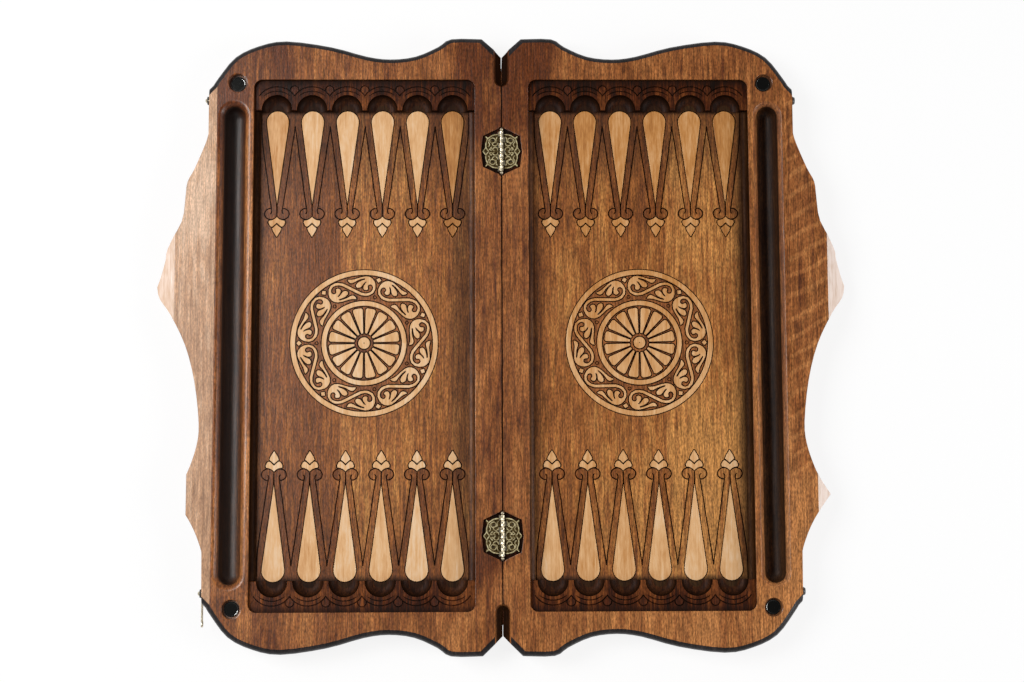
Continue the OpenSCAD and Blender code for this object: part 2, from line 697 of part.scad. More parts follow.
edge_board("left");  // left_edge_board
tray_rail("left");  // left_tray_rail
hinge_rail("left");  // left_hinge_rail
end_rail("left", 1);  // left_far_rail
end_rail("left", -1);  // left_near_rail
stave("left", field_x, stave_a);  // left_inner_stave
stave("left", stave_a, stave_b);  // left_middle_stave
stave("left", stave_b, field_out);  // left_outer_stave
comb("left", 1);  // left_far_comb
comb("left", -1);  // left_near_comb
point_inlays("left", 1);  // left_far_points
point_inlays("left", -1);  // left_near_points
fleuron_inlays("left", 1);  // left_far_fleurons
fleuron_inlays("left", -1);  // left_near_fleurons
medallion_rings("left");  // left_medallion_rings
medallion_petals("left");  // left_medallion_petals
medallion_scrolls("left");  // left_medallion_scrolls
corner_magnets("left");  // left_corner_magnets
edge_board("right");  // right_edge_board
tray_rail("right");  // right_tray_rail
hinge_rail("right");  // right_hinge_rail
end_rail("right", 1);  // right_far_rail
end_rail("right", -1);  // right_near_rail
stave("right", field_x, stave_a);  // right_inner_stave
stave("right", stave_a, stave_b);  // right_middle_stave
stave("right", stave_b, field_out);  // right_outer_stave
comb("right", 1);  // right_far_comb
comb("right", -1);  // right_near_comb
point_inlays("right", 1);  // right_far_points
point_inlays("right", -1);  // right_near_points
fleuron_inlays("right", 1);  // right_far_fleurons
fleuron_inlays("right", -1);  // right_near_fleurons
medallion_rings("right");  // right_medallion_rings
medallion_petals("right");  // right_medallion_petals
medallion_scrolls("right");  // right_medallion_scrolls
corner_magnets("right");  // right_corner_magnets
hinge_leaf("left", 1);  // far_hinge_left_leaf
hinge_leaf("right", 1);  // far_hinge_right_leaf
hinge_pin(1);  // far_hinge_pin
hinge_leaf("left", -1);  // near_hinge_left_leaf
hinge_leaf("right", -1);  // near_hinge_right_leaf
hinge_pin(-1);  // near_hinge_pin
hinge_screws("left");  // left_hinge_screws
hinge_screws("right");  // right_hinge_screws
hook(1);  // far_hook
hook(-1);  // near_hook
latch_pivot_screws();
latch_washers();
latch_studs();
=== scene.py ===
"""Looks of a folding backgammon case: carved, stained beech, pale inlays, brass hinges and hook latches."""

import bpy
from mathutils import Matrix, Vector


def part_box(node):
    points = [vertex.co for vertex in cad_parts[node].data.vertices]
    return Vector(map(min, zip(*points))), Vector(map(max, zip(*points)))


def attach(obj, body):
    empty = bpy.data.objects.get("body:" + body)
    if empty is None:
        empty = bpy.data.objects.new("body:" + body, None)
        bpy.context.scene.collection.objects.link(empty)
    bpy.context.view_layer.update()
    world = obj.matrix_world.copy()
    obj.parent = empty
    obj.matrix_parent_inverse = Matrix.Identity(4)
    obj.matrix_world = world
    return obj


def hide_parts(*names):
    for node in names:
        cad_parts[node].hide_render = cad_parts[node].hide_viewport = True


bl_info = {
    "name": "Backgammon Case",
    "version": (1, 0, 0),
    "blender": (4, 5, 0),
    "location": "3D View > Sidebar > Backgammon",
    "description": "Carves, inlays and finishes a folding wooden backgammon case",
    "category": "Object",
}

import math

import bmesh
import bpy
from mathutils import Matrix, Vector
from mathutils.geometry import delaunay_2d_cdt
from mathutils.kdtree import KDTree

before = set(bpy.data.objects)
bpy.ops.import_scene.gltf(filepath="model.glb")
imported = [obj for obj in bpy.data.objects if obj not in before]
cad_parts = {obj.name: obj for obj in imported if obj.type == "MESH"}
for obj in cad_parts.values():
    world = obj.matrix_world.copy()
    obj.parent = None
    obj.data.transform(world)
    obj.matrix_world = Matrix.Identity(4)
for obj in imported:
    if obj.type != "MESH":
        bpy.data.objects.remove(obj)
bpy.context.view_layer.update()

MM = 0.001
# Corners nearer than this are one corner
WELD = 4e-6
# Heights and distances that differ by less than this are the same
NEAR = 1e-5
# Faces whose angle in radians is less than this are one flat face
FLAT = 0.004
# A face is square to a direction if its normal has more than this share in it
SQUARE = 0.99
HALVES = {"left": -1, "right": 1}
ENDS = {"far": 1, "near": -1}
RIM_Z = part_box("right_tray_rail")[1].z
COMB_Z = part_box("right_far_comb")[1].z
FLOOR_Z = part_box("right_inner_stave")[1].z
GROUND_Z = FLOOR_Z - 0.1 * MM
RECESS_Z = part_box("right_medallion_rings")[0].z
FIELD_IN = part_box("right_far_comb")[0].x
FIELD_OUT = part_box("right_far_comb")[1].x
FIELD_MID = (FIELD_IN + FIELD_OUT) / 2
FIELD_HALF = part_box("right_inner_stave")[1].y
# Past this distance from the middle line the long rails meet the end rails
CORNER_Y = FIELD_HALF - 8 * MM
EDGE_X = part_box("right_edge_board")[0].x
FLANK_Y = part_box("right_edge_board")[1].y - 11 * MM
POINTS = 6
POINT_PITCH = 35.4 * MM
HINGE_Y = (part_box("far_hinge_pin")[0].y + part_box("far_hinge_pin")[1].y) / 2
MORTISE_HALF = 20 * MM
LEAF_TOP = RIM_Z - 0.4 * MM
MAGNET_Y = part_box("right_corner_magnets")[1].y - 7.7 * MM
MAGNET_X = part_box("right_corner_magnets")[1].x - 7.7 * MM
BORE_REACH = 11 * MM
TRAY_X = 268.4 * MM
TRAY_HALF_X = 15 * MM
TRAY_HALF_Y = 243.5 * MM
TRAY_LIP = 4 * MM


def srgb(text):
    """A colour from its sRGB hex value, as linear red, green, blue and alpha."""
    parts = [int(text[i : i + 2], 16) / 255 for i in (1, 3, 5)]
    return [c / 12.92 if c <= 0.04045 else ((c + 0.055) / 1.055) ** 2.4 for c in parts] + [1.0]


def greys(*stops):
    """Grey stops of a colour ramp, each from its place and its brightness."""
    return [(at, (value, value, value, 1)) for at, value in stops]


# Settings


def colour(name, description, value):
    """A colour setting."""
    return bpy.props.FloatVectorProperty(
        name=name, description=description, subtype="COLOR", size=4, min=0, max=1, default=srgb(value)
    )


def length(name, description, value, low, high):
    """A length setting, given in millimetres."""
    limits = {"default": value * MM, "min": low * MM, "max": high * MM}
    return bpy.props.FloatProperty(
        name=name, description=description, subtype="DISTANCE", unit="LENGTH", precision=5, **limits
    )


def watts(name, description, value):
    """The power of a lamp."""
    return bpy.props.FloatProperty(
        name=name, description=description, subtype="POWER", unit="POWER", default=value, min=0
    )


class WoodColours(bpy.types.PropertyGroup):
    """Colours of the stained and the natural wood."""

    rail_deep: colour("Rail, deep", "Dark grain of the rails", "#5E2F13")
    rail_mid: colour("Rail, middle", "Main colour of the rails", "#8F562C")
    rail_light: colour("Rail, light", "Light grain of the rails", "#B37643")
    side_deep: colour("Sides, deep", "Dark grain of the outer walls and the underside", "#6F3F1F")
    side_mid: colour("Sides, middle", "Main colour of the outer walls and the underside", "#875130")
    side_light: colour("Sides, light", "Light grain of the outer walls and the underside", "#A06A3E")
    # The left edge board's paler shades: partly its own paler wood, partly a painted sheen
    edge_deep: colour("Edge board, deep", "Dark grain of the paler left edge board", "#9C7252")
    edge_light: colour("Edge board, middle", "Main colour of the paler left edge board", "#BB8F6C")
    edge_pale: colour("Edge board, light", "Light grain of the paler left edge board", "#D6B192")
    floor_deep: colour("Floor, deep", "Dark grain of the field floors", "#73401C")
    floor_mid: colour("Floor, middle", "Main colour of the field floors", "#985D2D")
    floor_light: colour("Floor, light", "Light grain of the field floors", "#C08548")
    # Near black of the scorch, also used as painted shade in recesses and beside walls
    burnt: colour("Burnt", "Scorched wood in the coves and carved lines", "#160903")
    comb: colour("Comb", "Dark stain of the scalloped combs", "#421D0B")
    tongue: colour("Tongue", "Worn stain on the comb's tongues", "#74401E")
    inlay_line: colour("Inlay, deep", "Grain lines of the pale inlays", "#94591F")
    inlay_gold: colour("Inlay, golden", "Golden wood of the deeper inlays", "#BE8244")
    inlay_light: colour("Inlay, light", "Main colour of the pale inlays", "#DFAF7B")
    # The palest inlay stop also carries the painted sheen on the left half's inlays
    inlay_pale: colour("Inlay, pale", "Palest wood of the inlays", "#E8C6A0")
    bare: colour("Bare beech", "Unstained faces on the side bulges", "#FAE6DA")


class CarvingSizes(bpy.types.PropertyGroup):
    """Sizes of the carving and of the softened edges."""

    end_bevel: length("End bevel", "Width of the dark bevel round the ends", 5.2, 2, 7)
    rim_round: length("Rim rounding", "Rounding of the rim along fields, trays and flanks", 0.9, 0.3, 2)
    lip_round: length("Tray lip rounding", "Rounding of both edges of the trays' flared lips", 1.8, 0.5, 3)
    inlay_round: length("Inlay rounding", "Rounding of the inlays' top edges", 0.3, 0.1, 0.5)
    line_depth: length("Line depth", "Depth of the carved lines", 0.6, 0.2, 1.5)
    moat: length("Inlay outline", "Width of the dark line round each medallion piece", 1.15, 0.4, 1.5)


class StageSettings(bpy.types.PropertyGroup):
    """Light and background."""

    background: colour("Background", "Floor and backdrop as the camera sees them", "#FFFFFF")
    left_watts: watts("Left softbox", "Power of the left lamp", 42)
    right_watts: watts("Right softbox", "Power of the right lamp", 24)
    sky: bpy.props.FloatProperty(
        name="Room", description="Strength of the even light of the room", default=0.4, min=0
    )


class CaseSettings(bpy.types.PropertyGroup):
    """All settings of the case."""

    wood: bpy.props.PointerProperty(type=WoodColours)
    carving: bpy.props.PointerProperty(type=CarvingSizes)
    stage: bpy.props.PointerProperty(type=StageSettings)


# Materials


def feed(tree, node, inputs):
    """Gives a node its inputs, in order or by name, each a value or another node's output."""
    for name, value in inputs.items() if isinstance(inputs, dict) else enumerate(inputs):
        if isinstance(value, bpy.types.NodeSocket):
            tree.links.new(value, node.inputs[name])
        else:
            node.inputs[name].default_value = value


def add(tree, kind, inputs=(), ramp=(), out=0, **settings):
    """Adds a shader node with its inputs, its ramp's stops and its settings, and gives one of its outputs."""
    node = tree.nodes.new("ShaderNode" + kind)
    for name, value in settings.items():
        setattr(node, name, value)
    if ramp:
        stops = node.color_ramp.elements
        for at, _ in ramp[1:-1]:
            stops.new(at)
        for stop, (at, value) in zip(stops, ramp):
            stop.position, stop.color = at, value
    feed(tree, node, inputs)
    return node.outputs[out]


def surface(name, inputs):
    """A material with constant values on its shader's own sockets: material, tree and shader."""
    made = bpy.data.materials.new(name)
    made.use_nodes = True
    tree = made.node_tree
    shader = tree.nodes["Principled BSDF"]
    feed(tree, shader, inputs)
    return made, tree, shader


def grain(tree, width, run, detail, shift):
    """Wood figure along the boards: a noise so many millimetres wide that runs so far along +Y."""
    spot = add(tree, "TexCoord", out="Object")
    scale = (1 / (width * MM), 1 / (run * MM), 1 / (width * MM))
    place = add(tree, "Mapping", {"Vector": spot, "Location": (shift, shift, shift), "Scale": scale})
    return add(tree, "TexNoise", {"Vector": place, "Scale": 1.0, "Detail": detail, "Roughness": 0.6})


def layered(tree, base, *layers):
    """A figure built up on a base from layers of grain or tone, each with its weight."""
    for layer, weight in layers:
        base = add(tree, "Math", (layer, weight, base), operation="MULTIPLY_ADD")
    return base


def distance(tree, direction):
    """A point's distance from the middle of the case: x, y, height, across, along, or on a slant."""
    spot = tree.nodes.get("spot")
    if not spot:
        spot = add(tree, "SeparateXYZ", (add(tree, "TexCoord", out="Object"),), name="spot").node
    x, y, height = spot.outputs
    if direction == "slant":
        return add(tree, "Math", (y, x), operation="SUBTRACT")
    if direction in ("across", "along"):
        return add(tree, "Math", (x if direction == "across" else y,), operation="ABSOLUTE")
    return {"x": x, "y": y, "height": height}[direction]


def zones(tree, how, *parts):
    """Tone or scorch that comes on in zones of the case, added up, multiplied, or the most of them.

    A part is a value, or a direction, the millimetres where the zone starts and is full, and its most.
    """
    total = None
    for part in parts:
        if isinstance(part, tuple):
            direction, start, full, most = part
            # A value, the ends that it comes from, and the ends that it goes to
            inputs = (distance(tree, direction), start * MM, full * MM, 0.0, most)
            part = add(tree, "MapRange", inputs, interpolation_type="SMOOTHSTEP")
        total = part if total is None else add(tree, "Math", (total, part), operation=how)
    return total


def stained_beech(
    name, shades, shade=None, tone=None, darkened_sheen=0.1, gloss=0.45, dulled=0.25, figured=1.0, sheen=0.5
):
    """Beech boards, stained and lacquered: straight streaks, short dark pores and a soft sheen."""
    made, tree, shader = surface(name, {"Specular IOR Level": sheen})
    broad = grain(tree, 30, 150, 2.0, 0.0)
    streaks = grain(tree, 2.6, 75, 3.0, 3.7)
    fibres = grain(tree, 1.3, 22, 2.0, 8.1)
    mottle = grain(tree, 7, 16, 3.0, 2.4)
    # Beech flecks are under half a millimetre wide: drawn as 1.1 mm, so that they show
    pores = grain(tree, 1.1, 3.6, 1.0, 5.3)
    figure = layered(tree, 0.0, (broad, 0.4), (streaks, 0.5), (mottle, 0.3))
    if tone:
        figure = layered(tree, figure, (tone(tree), 1.0))
    tint = add(tree, "ValToRGB", (figure,), list(zip((0.45, 0.6, 0.76), shades)))
    specks = add(tree, "MapRange", (pores, 0.34, 0.62, 0.6, 1.22))
    threads = add(tree, "MapRange", (fibres, 0.3, 0.7, 0.52, 1.48))
    depth = add(tree, "Math", (specks, threads), operation="MULTIPLY")
    layers = {0: figured, 6: tint, 7: depth}
    tint = add(tree, "Mix", layers, out=2, data_type="RGBA", blend_type="MULTIPLY")
    rough = add(tree, "MapRange", (streaks, 0.3, 0.7, 0.42, 0.28))
    # Scorch, and painted shade in recesses and beside walls, darken the colour towards near black and make it
    # matt
    if shade:
        darkening = shade(tree)
        burnt = bpy.context.scene.backgammon.wood.burnt
        tint = add(tree, "Mix", {0: darkening, 6: tint, 7: burnt}, out=2, data_type="RGBA")
        least = darkened_sheen(tree) if callable(darkened_sheen) else darkened_sheen
        matt = add(tree, "MapRange", (darkening, 0.0, 1.0, gloss, least))
        feed(tree, shader, {"Specular IOR Level": matt})
        rough = layered(tree, rough, (darkening, dulled))
    bump = add(tree, "Bump", {"Strength": 0.35, "Distance": 0.12 * MM, "Height": depth})
    feed(tree, shader, {"Base Color": tint, "Roughness": rough, "Normal": bump})
    return made


def pale_maple(name, shades, stops, tone):
    """Maple, sanded and lacquered: fine even grain, and each piece a little lighter or darker."""
    made, tree, shader = surface(name, {})
    lines = grain(tree, 2.2, 60, 3.0, 1.3)
    fibres = grain(tree, 1.1, 9, 2.0, 6.2)
    clouds = grain(tree, 9, 30, 2.0, 4.4)
    spot = add(tree, "TexCoord", out="Object")
    cell = add(tree, "VectorMath", (spot, (POINT_PITCH, 0.3, 1.0)), operation="SNAP")
    own = add(tree, "TexWhiteNoise", (cell,))
    layers = ((lines, 0.6), (own, 0.15), (clouds, 0.6), (fibres, 0.5), (tone(tree), 1.0))
    tint = add(tree, "ValToRGB", (layered(tree, -0.31, *layers),), list(zip(stops, shades)))
    rough = add(tree, "MapRange", (fibres, 0.0, 1.0, 0.5, 0.4))
    bump = add(tree, "Bump", {"Strength": 0.2, "Distance": 0.06 * MM, "Height": fibres})
    feed(tree, shader, {"Base Color": tint, "Roughness": rough, "Normal": bump})
    return made


def cast_metal(name, shades, size, smooth, worn, relief=0.1 * MM):
    """Metal, cast or stamped: patina in a mottle of that size, smoother where it is bright, uneven."""
    made, tree, shader = surface(name, {"Metallic": 1.0})
    spot = add(tree, "TexCoord", out="Object")
    mottle = add(tree, "TexNoise", {"Vector": spot, "Scale": 1 / size, "Detail": 3.0})
    tint = add(tree, "ValToRGB", (mottle,), list(zip((0.35, 0.65), shades)))
    rough = add(tree, "MapRange", (mottle, 0.0, 1.0, worn, smooth))
    grit = add(tree, "TexNoise", {"Vector": spot, "Scale": 1 / (0.4 * size), "Detail": 2.0})
    bump = add(tree, "Bump", {"Strength": 0.3, "Distance": relief, "Height": grit})
    feed(tree, shader, {"Base Color": tint, "Roughness": rough, "Normal": bump})
    return made


def below_rim(tree):
    """Scorch and painted shade on the walls of fields, trays, mortises and hollows, which lie below the rim.
    """
    across, height = distance(tree, "across"), distance(tree, "height")
    # The darkening reaches its full depth sooner in the fields than in the trays
    full = add(tree, "MapRange", (across, 250 * MM, 254 * MM, RIM_Z - 3.5 * MM, RIM_Z - 8 * MM))
    top = add(tree, "MapRange", (height, RIM_Z - 0.6 * MM, full), interpolation_type="SMOOTHSTEP")
    least = add(tree, "MapRange", (across, 100 * MM, 200 * MM, 0.5, 0.88))
    foot = add(tree, "MapRange", (height, FLOOR_Z, FLOOR_Z + 6 * MM, least, 0.96))
    # Painted light in the trays: the inner side, where the light falls, is less dark than the outer side
    inner = zones(tree, "MULTIPLY", ("across", 274, 258, -0.4), ("across", 253, 256, 1.0))
    return zones(tree, "MULTIPLY", top, foot, zones(tree, "ADD", inner, 1.0))


def tray_gloss(tree):
    """Reflection of the darkened wood: lacquered in the trays, matt on the walls of the fields."""
    return zones(tree, "MAXIMUM", ("x", -249, -256, 1.0), ("x", 249, 256, 0.4))


def floor_scorch_and_shadow(tree):
    """Scorch and painted shadow that run out from the field's walls over its floor, deepest under the combs.
    """
    # A wide band of painted shadow on the right side of each field: here beside the left field's inner wall,
    # below beside the right field's outer wall
    left_inner_shadow = zones(tree, "MULTIPLY", ("x", 0, -1, 1.0), ("x", -58, -44, 0.42))
    sides = (("across", 43, 33, 0.28), left_inner_shadow, ("x", 231, 245, 0.93), ("x", -237, -246, 0.75))
    ends = (("along", 227, 237, 0.93), ("y", 138, 205, 0.42), ("along", 120, 170, 0.12))
    return zones(tree, "MAXIMUM", *sides, *ends)


def stave_tone(tree):
    """A step in tone from stave to stave, because each is a board of its own, and painted light towards the
    near right corner.
    """
    share = add(tree, "MapRange", (distance(tree, "x"), -250 * MM, 250 * MM))
    staves = greys((0.0, 0.37), (0.174, 0.52), (0.322, 0.48), (0.5, 0.46), (0.678, 0.48), (0.826, 0.58))
    steps = add(tree, "ValToRGB", (share,), staves)
    steps.node.color_ramp.interpolation = "CONSTANT"
    # Painted light on the floor towards the near right corner
    near_right_light = zones(tree, "MULTIPLY", ("x", 60, 120, 0.09), ("y", 0, -120, 1.0))
    return zones(tree, "ADD", steps, near_right_light, -0.5)


def band_tone(tree):
    """The bands beside the points, stained darker than the floor they are carved in."""
    return zones(tree, "ADD", stave_tone(tree), -0.1)


def inlay_tone(tree):
    """Inlays, paler on the left half with painted sheen and deeper far on the right half with painted shade.
    """
    far_right_shade = zones(tree, "MULTIPLY", ("x", -5, 5, 1.0), ("y", -60, 120, -0.2))
    tone = zones(tree, "ADD", ("x", 5, -5, 0.14), far_right_shade)
    # Two points far on the left and some near on the right, with their middle, reach, end and change
    darker = ((-49.4, 17.7, 1, -0.4), (-226.4, 17.7, 1, -0.25))
    # Painted light makes the points near on the right paler
    lit_near_right = ((191.0, 53.1, -1, 0.07), (226.4, 17.7, -1, 0.07))
    for middle, reach, way, most in darker + lit_near_right:
        inputs = (distance(tree, "x"), middle * MM, reach * MM)
        points = add(tree, "Math", inputs, operation="COMPARE")
        at_end = zones(tree, "MULTIPLY", points, ("y", 80 * way, 100 * way, most))
        tone = zones(tree, "ADD", tone, at_end)
    return tone


def facet_tone(tree):
    """Bare faces, deeper on the left half: painted shade that tempers the light of the left softbox."""
    return zones(tree, "ADD", ("x", 5, -5, -0.32))


def edge_tone(tree):
    """The paler edge board, a little deeper along its joint with the tray rail, and paler at its far end with
    painted sheen.
    """
    return zones(tree, "ADD", ("across", 302, 288, -0.03), ("y", 80, 130, 0.12))


def comb_scorch_and_shade(tree):
    """Scorch and painted shade on a comb, from its back wall forward to the tongues, and in its hollows."""
    top = COMB_Z / MM
    foot = add(tree, "MapRange", (distance(tree, "height"), FLOOR_Z, COMB_Z - 3 * MM, 0.68, 1.0))
    hollow = zones(tree, "MULTIPLY", ("height", top - 0.5, top - 2, 1.0), foot)
    return zones(tree, "MAXIMUM", ("along", 258, 265, 0.6), hollow)


def comb_tone(tree):
    """Combs, lighter towards the tips of their tongues, and deeper at the far end."""
    return zones(tree, "ADD", ("along", 262, 246, 0.07), ("y", -100, 100, -0.05))


def rail_tone(tree):
    """Rails: darker ends of the hinge rail, a figured right edge board, painted sheen on the left tray's
    inner lip, and painted light towards the near right.
    """
    reaches = (("along", 160, 235, -0.2), ("across", 70, 20, 1.0), ("slant", -240, -200, 1.0))
    ends = zones(tree, "MULTIPLY", *reaches)
    # Growth rings, cut at a slant, that cross the right edge board, which is deeper where it narrows
    spot = add(tree, "TexCoord", out="Object")
    turned = add(tree, "Mapping", {"Vector": spot, "Rotation": (0, 0, math.radians(-28))})
    inputs = {"Vector": turned, "Scale": 18.0, "Distortion": 3.5, "Detail": 2.0, "Detail Scale": 1.2}
    rings = add(tree, "TexWave", inputs, out=1, bands_direction="Y")
    line = add(tree, "MapRange", (rings, 0.7, 0.98), interpolation_type="SMOOTHSTEP")
    figure = zones(tree, "ADD", line, ("y", -40, -70, -0.9), ("y", -120, -150, 1.2))
    board = zones(tree, "MULTIPLY", ("x", 283, 290, 0.1), figure)
    # The inner lip of the left tray, lighter with painted sheen
    lip = add(tree, "Math", (distance(tree, "x"), -253 * MM, 4.2 * MM), operation="COMPARE")
    rubbed = zones(tree, "MULTIPLY", lip, ("along", 240, 210, 0.1))
    # Painted light, lighter towards the near right corner; darker towards the left and the far left corner
    slopes = (("x", -60, -240, -0.05), ("slant", -270, -460, 0.1), ("slant", 440, 540, -0.08))
    return zones(tree, "ADD", ends, board, rubbed, *slopes)


# Shades of one board, from deep to light
RAIL = ("rail_deep", "rail_mid", "rail_light")
FLOOR = ("floor_deep", "floor_mid", "floor_light")
SIDE = ("side_deep", "side_mid", "side_light")
EDGE = ("edge_deep", "edge_light", "edge_pale")
BARE = ("edge_pale", "bare", "bare")
INLAY = ("inlay_line", "inlay_gold", "inlay_light", "inlay_pale")
# Each finish: how it is made, its shades, and what sets it apart
FINISHES = {
    # Stained and lacquered rails: warm brown, streaked, and darkened down their walls by scorch and painted
    # shade
    "stained_beech_rail": (
        stained_beech,
        RAIL,
        {"shade": below_rim, "tone": rail_tone, "darkened_sheen": tray_gloss, "dulled": 0.2},
    ),
    # The left edge board took less stain and carries a painted sheen: sandy, with a fainter figure
    "pale_beech_edge": (stained_beech, EDGE, {"tone": edge_tone, "figured": 0.6}),
    # Sawn and stained outer walls and underside: an even brown
    "stained_beech_side": (stained_beech, SIDE, {"figured": 0.6}),
    # Field floors: the richest brown, darkened along the walls by scorch and painted shadow, with a step from
    # stave to stave
    "stained_beech_floor": (stained_beech, FLOOR, {"shade": floor_scorch_and_shadow, "tone": stave_tone}),
    # Bands carved beside the points, stained once more
    "stained_beech_band": (stained_beech, FLOOR, {"shade": floor_scorch_and_shadow, "tone": band_tone}),
    # Ground of the medallions: deep brown, so that the pale pieces stand out
    "medallion_ground": (stained_beech, ("rail_deep", "rail_mid", "rail_mid"), {}),
    # Carved lines, burnt black and matt; the mortises and the seam's rounding take it as painted shade
    "scorched_beech": (stained_beech, ("burnt", "burnt", "comb"), {"sheen": 0.1}),
    # The bevel round the ends: nearly black stain under lacquer, with a cool sheen
    "dark_bevel": (stained_beech, ("#15110F", "#211C1D", "#322A28"), {}),
    # Combs: dark stain, black in the hollows from scorch and painted shade, browner towards the tongues' tips
    "dark_stained_beech": (
        stained_beech,
        ("burnt", "comb", "tongue"),
        {"shade": comb_scorch_and_shade, "tone": comb_tone, "darkened_sheen": 0.05, "gloss": 0.22},
    ),
    # Drops between the combs' arcs: the same stain, a little worn
    "worn_stained_beech": (stained_beech, ("comb", "comb", "tongue"), {"sheen": 0.3}),
    # Edges of the combs' tongues: a grey brown painted highlight, the lamps' reflection on the rounded
    # lacquer
    "rubbed_edge": (stained_beech, ("comb", "#3A2C29", "#554A4A"), {}),
    # Unstained faces on the side bulges: pinkish white, with faint grain
    "bare_beech": (pale_maple, BARE, {"stops": (0.2, 0.65, 1.0), "tone": facet_tone}),
    # Inlays: honey to cream, each piece of its own tone, with painted sheen on the left half and painted
    # shade far on the right
    "maple_inlay": (pale_maple, INLAY, {"stops": (0.1, 0.38, 0.75, 1.0), "tone": inlay_tone}),
    # Cast hinge brass, plated old: dull straw yellow
    "antique_brass": (cast_metal, ("#857246", "#CBBB86"), {"size": 3 * MM, "smooth": 0.68, "worn": 0.78}),
    # The raised scrolls of the hinges, rubbed to a paler straw, and paler still as a painted highlight
    "rubbed_brass": (cast_metal, ("#A09068", "#D8CDA6"), {"size": 3 * MM, "smooth": 0.72, "worn": 0.8}),
    # The ground between the scrolls: brown black patina
    "brass_patina": (cast_metal, ("#1F180D", "#6A5733"), {"size": 1.6 * MM, "smooth": 0.45, "worn": 0.6}),
    # Magnets deep in their bores: dark nickel with a wavy shine
    "nickel_plate": (
        cast_metal,
        ("#14120D", "#3A3625"),
        {"size": 6 * MM, "smooth": 0.42, "worn": 0.5, "relief": 1.6 * MM},
    ),
    # Studs, washers and screw slots: near black with a dull shine
    "blackened_steel": (cast_metal, ("#121110", "#3A3632"), {"size": 3 * MM, "smooth": 0.3, "worn": 0.5}),
}


def finish(name):
    """The named finish, made when it is first asked for."""
    found = bpy.data.materials.get(name)
    if found:
        return found
    make, colours, settings = FINISHES[name]
    wood = bpy.context.scene.backgammon.wood
    shades = [srgb(each) if each[0] == "#" else getattr(wood, each) for each in colours]
    return make(name, shades, **settings)


# Mesh work


def solid_of(*nodes):
    """The solids of some CAD nodes as one mesh: loose triangles merged and flat faces joined."""
    bm = bmesh.new()
    for node in nodes:
        bm.from_mesh(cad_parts[node].data)
    bmesh.ops.remove_doubles(bm, verts=bm.verts, dist=WELD)
    bmesh.ops.dissolve_limit(bm, angle_limit=FLAT, verts=bm.verts, edges=bm.edges)
    bm.normal_update()
    for face in bm.faces:
        face.material_index = 0
    return bm


def open_joints(bm, distances):
    """Takes out the hidden faces of the glued joints at these distances from the seam."""
    upright = [f for f in bm.faces if abs(f.normal.x) > SQUARE]
    hidden = [f for f in upright if at_distance(f.calc_center_median(), distances)]
    bmesh.ops.delete(bm, geom=hidden, context="FACES")


def at_distance(point, distances):
    """Whether a point lies at one of these distances from the seam."""
    return any(abs(abs(point.x) - x) < NEAR for x in distances)


def is_underside(face):
    """Whether a face belongs to the flat underside that rests on the table."""
    return face.normal.z < -SQUARE and face.calc_center_median().z < 0.1 * MM


def corners_of(geom):
    """The corners among the elements that an operator made."""
    return [v for v in geom if isinstance(v, bmesh.types.BMVert)]


def drop_loose(bm):
    """Takes out corners that no face uses."""
    bmesh.ops.delete(bm, geom=[v for v in bm.verts if not v.link_faces], context="VERTS")


def append(bm, extra):
    """Adds a small mesh of its own to a piece's mesh."""
    mesh = bpy.data.meshes.new("extra")
    extra.to_mesh(mesh)
    extra.free()
    bm.from_mesh(mesh)
    bpy.data.meshes.remove(mesh)


def rim_edges(bm, height):
    """The edges between the flat top at this height and the walls that drop from it, each with its wall."""
    found = {}
    for edge in bm.edges:
        if len(edge.link_faces) == 2 and all(abs(v.co.z - height) < WELD for v in edge.verts):
            tops = [f for f in edge.link_faces if f.normal.z > SQUARE]
            walls = [f for f in edge.link_faces if f.normal.z < 0.9]
            if tops and walls:
                found[edge] = walls[0]
    return found


def round_off(bm, edges, width, segments, clamp=True):
    """Rounds edges off and returns the new faces."""
    if not edges:
        return []
    shape = {"affect": "EDGES", "segments": segments, "profile": 0.5, "material": -1}
    made = bmesh.ops.bevel(
        bm, geom=edges, offset=width, offset_type="OFFSET", clamp_overlap=clamp, **shape
    )
    bm.normal_update()
    return made["faces"]


def curve_through(points, steps):
    """A smooth row of points through the given ones."""
    row = [Vector(p) for p in points]
    row = [2 * row[0] - row[1], *row, 2 * row[-1] - row[-2]]
    made = []
    for a, b, c, d in zip(row, row[1:], row[2:], row[3:]):
        for i in range(steps):
            t = i / steps
            bend = (2 * a - 5 * b + 4 * c - d) * t * t
            made.append(0.5 * (2 * b + (c - a) * t + bend + (3 * b - a - 3 * c + d) * t**3))
    return [*made, row[-2]]


def arc(centre, radius, steps):
    """Points round a full turn, with the first one repeated at its end."""
    turns = [math.radians(360 * i / steps) for i in range(steps + 1)]
    return [Vector((centre[0] + radius * math.cos(t), centre[1] + radius * math.sin(t))) for t in turns]


def strip(points, width, taper=0.0):
    """The small quads of a carved line along a row of points, which narrows at its ends if it tapers."""
    quads, count = [], len(points) - 1
    for i, (a, b) in enumerate(zip(points, points[1:])):
        way = (b - a).normalized()
        side = Vector((-way.y, way.x))
        shares = [min(1.0, 0.25 + min(k, count - k) / (taper * count)) if taper else 1.0 for k in (i, i + 1)]
        wa, wb = (width / 2 * s for s in shares)
        a, b = a - way * wa * 0.35, b + way * wb * 0.35
        quads.append([a - side * wa, b - side * wb, b + side * wb, a + side * wa])
    return quads


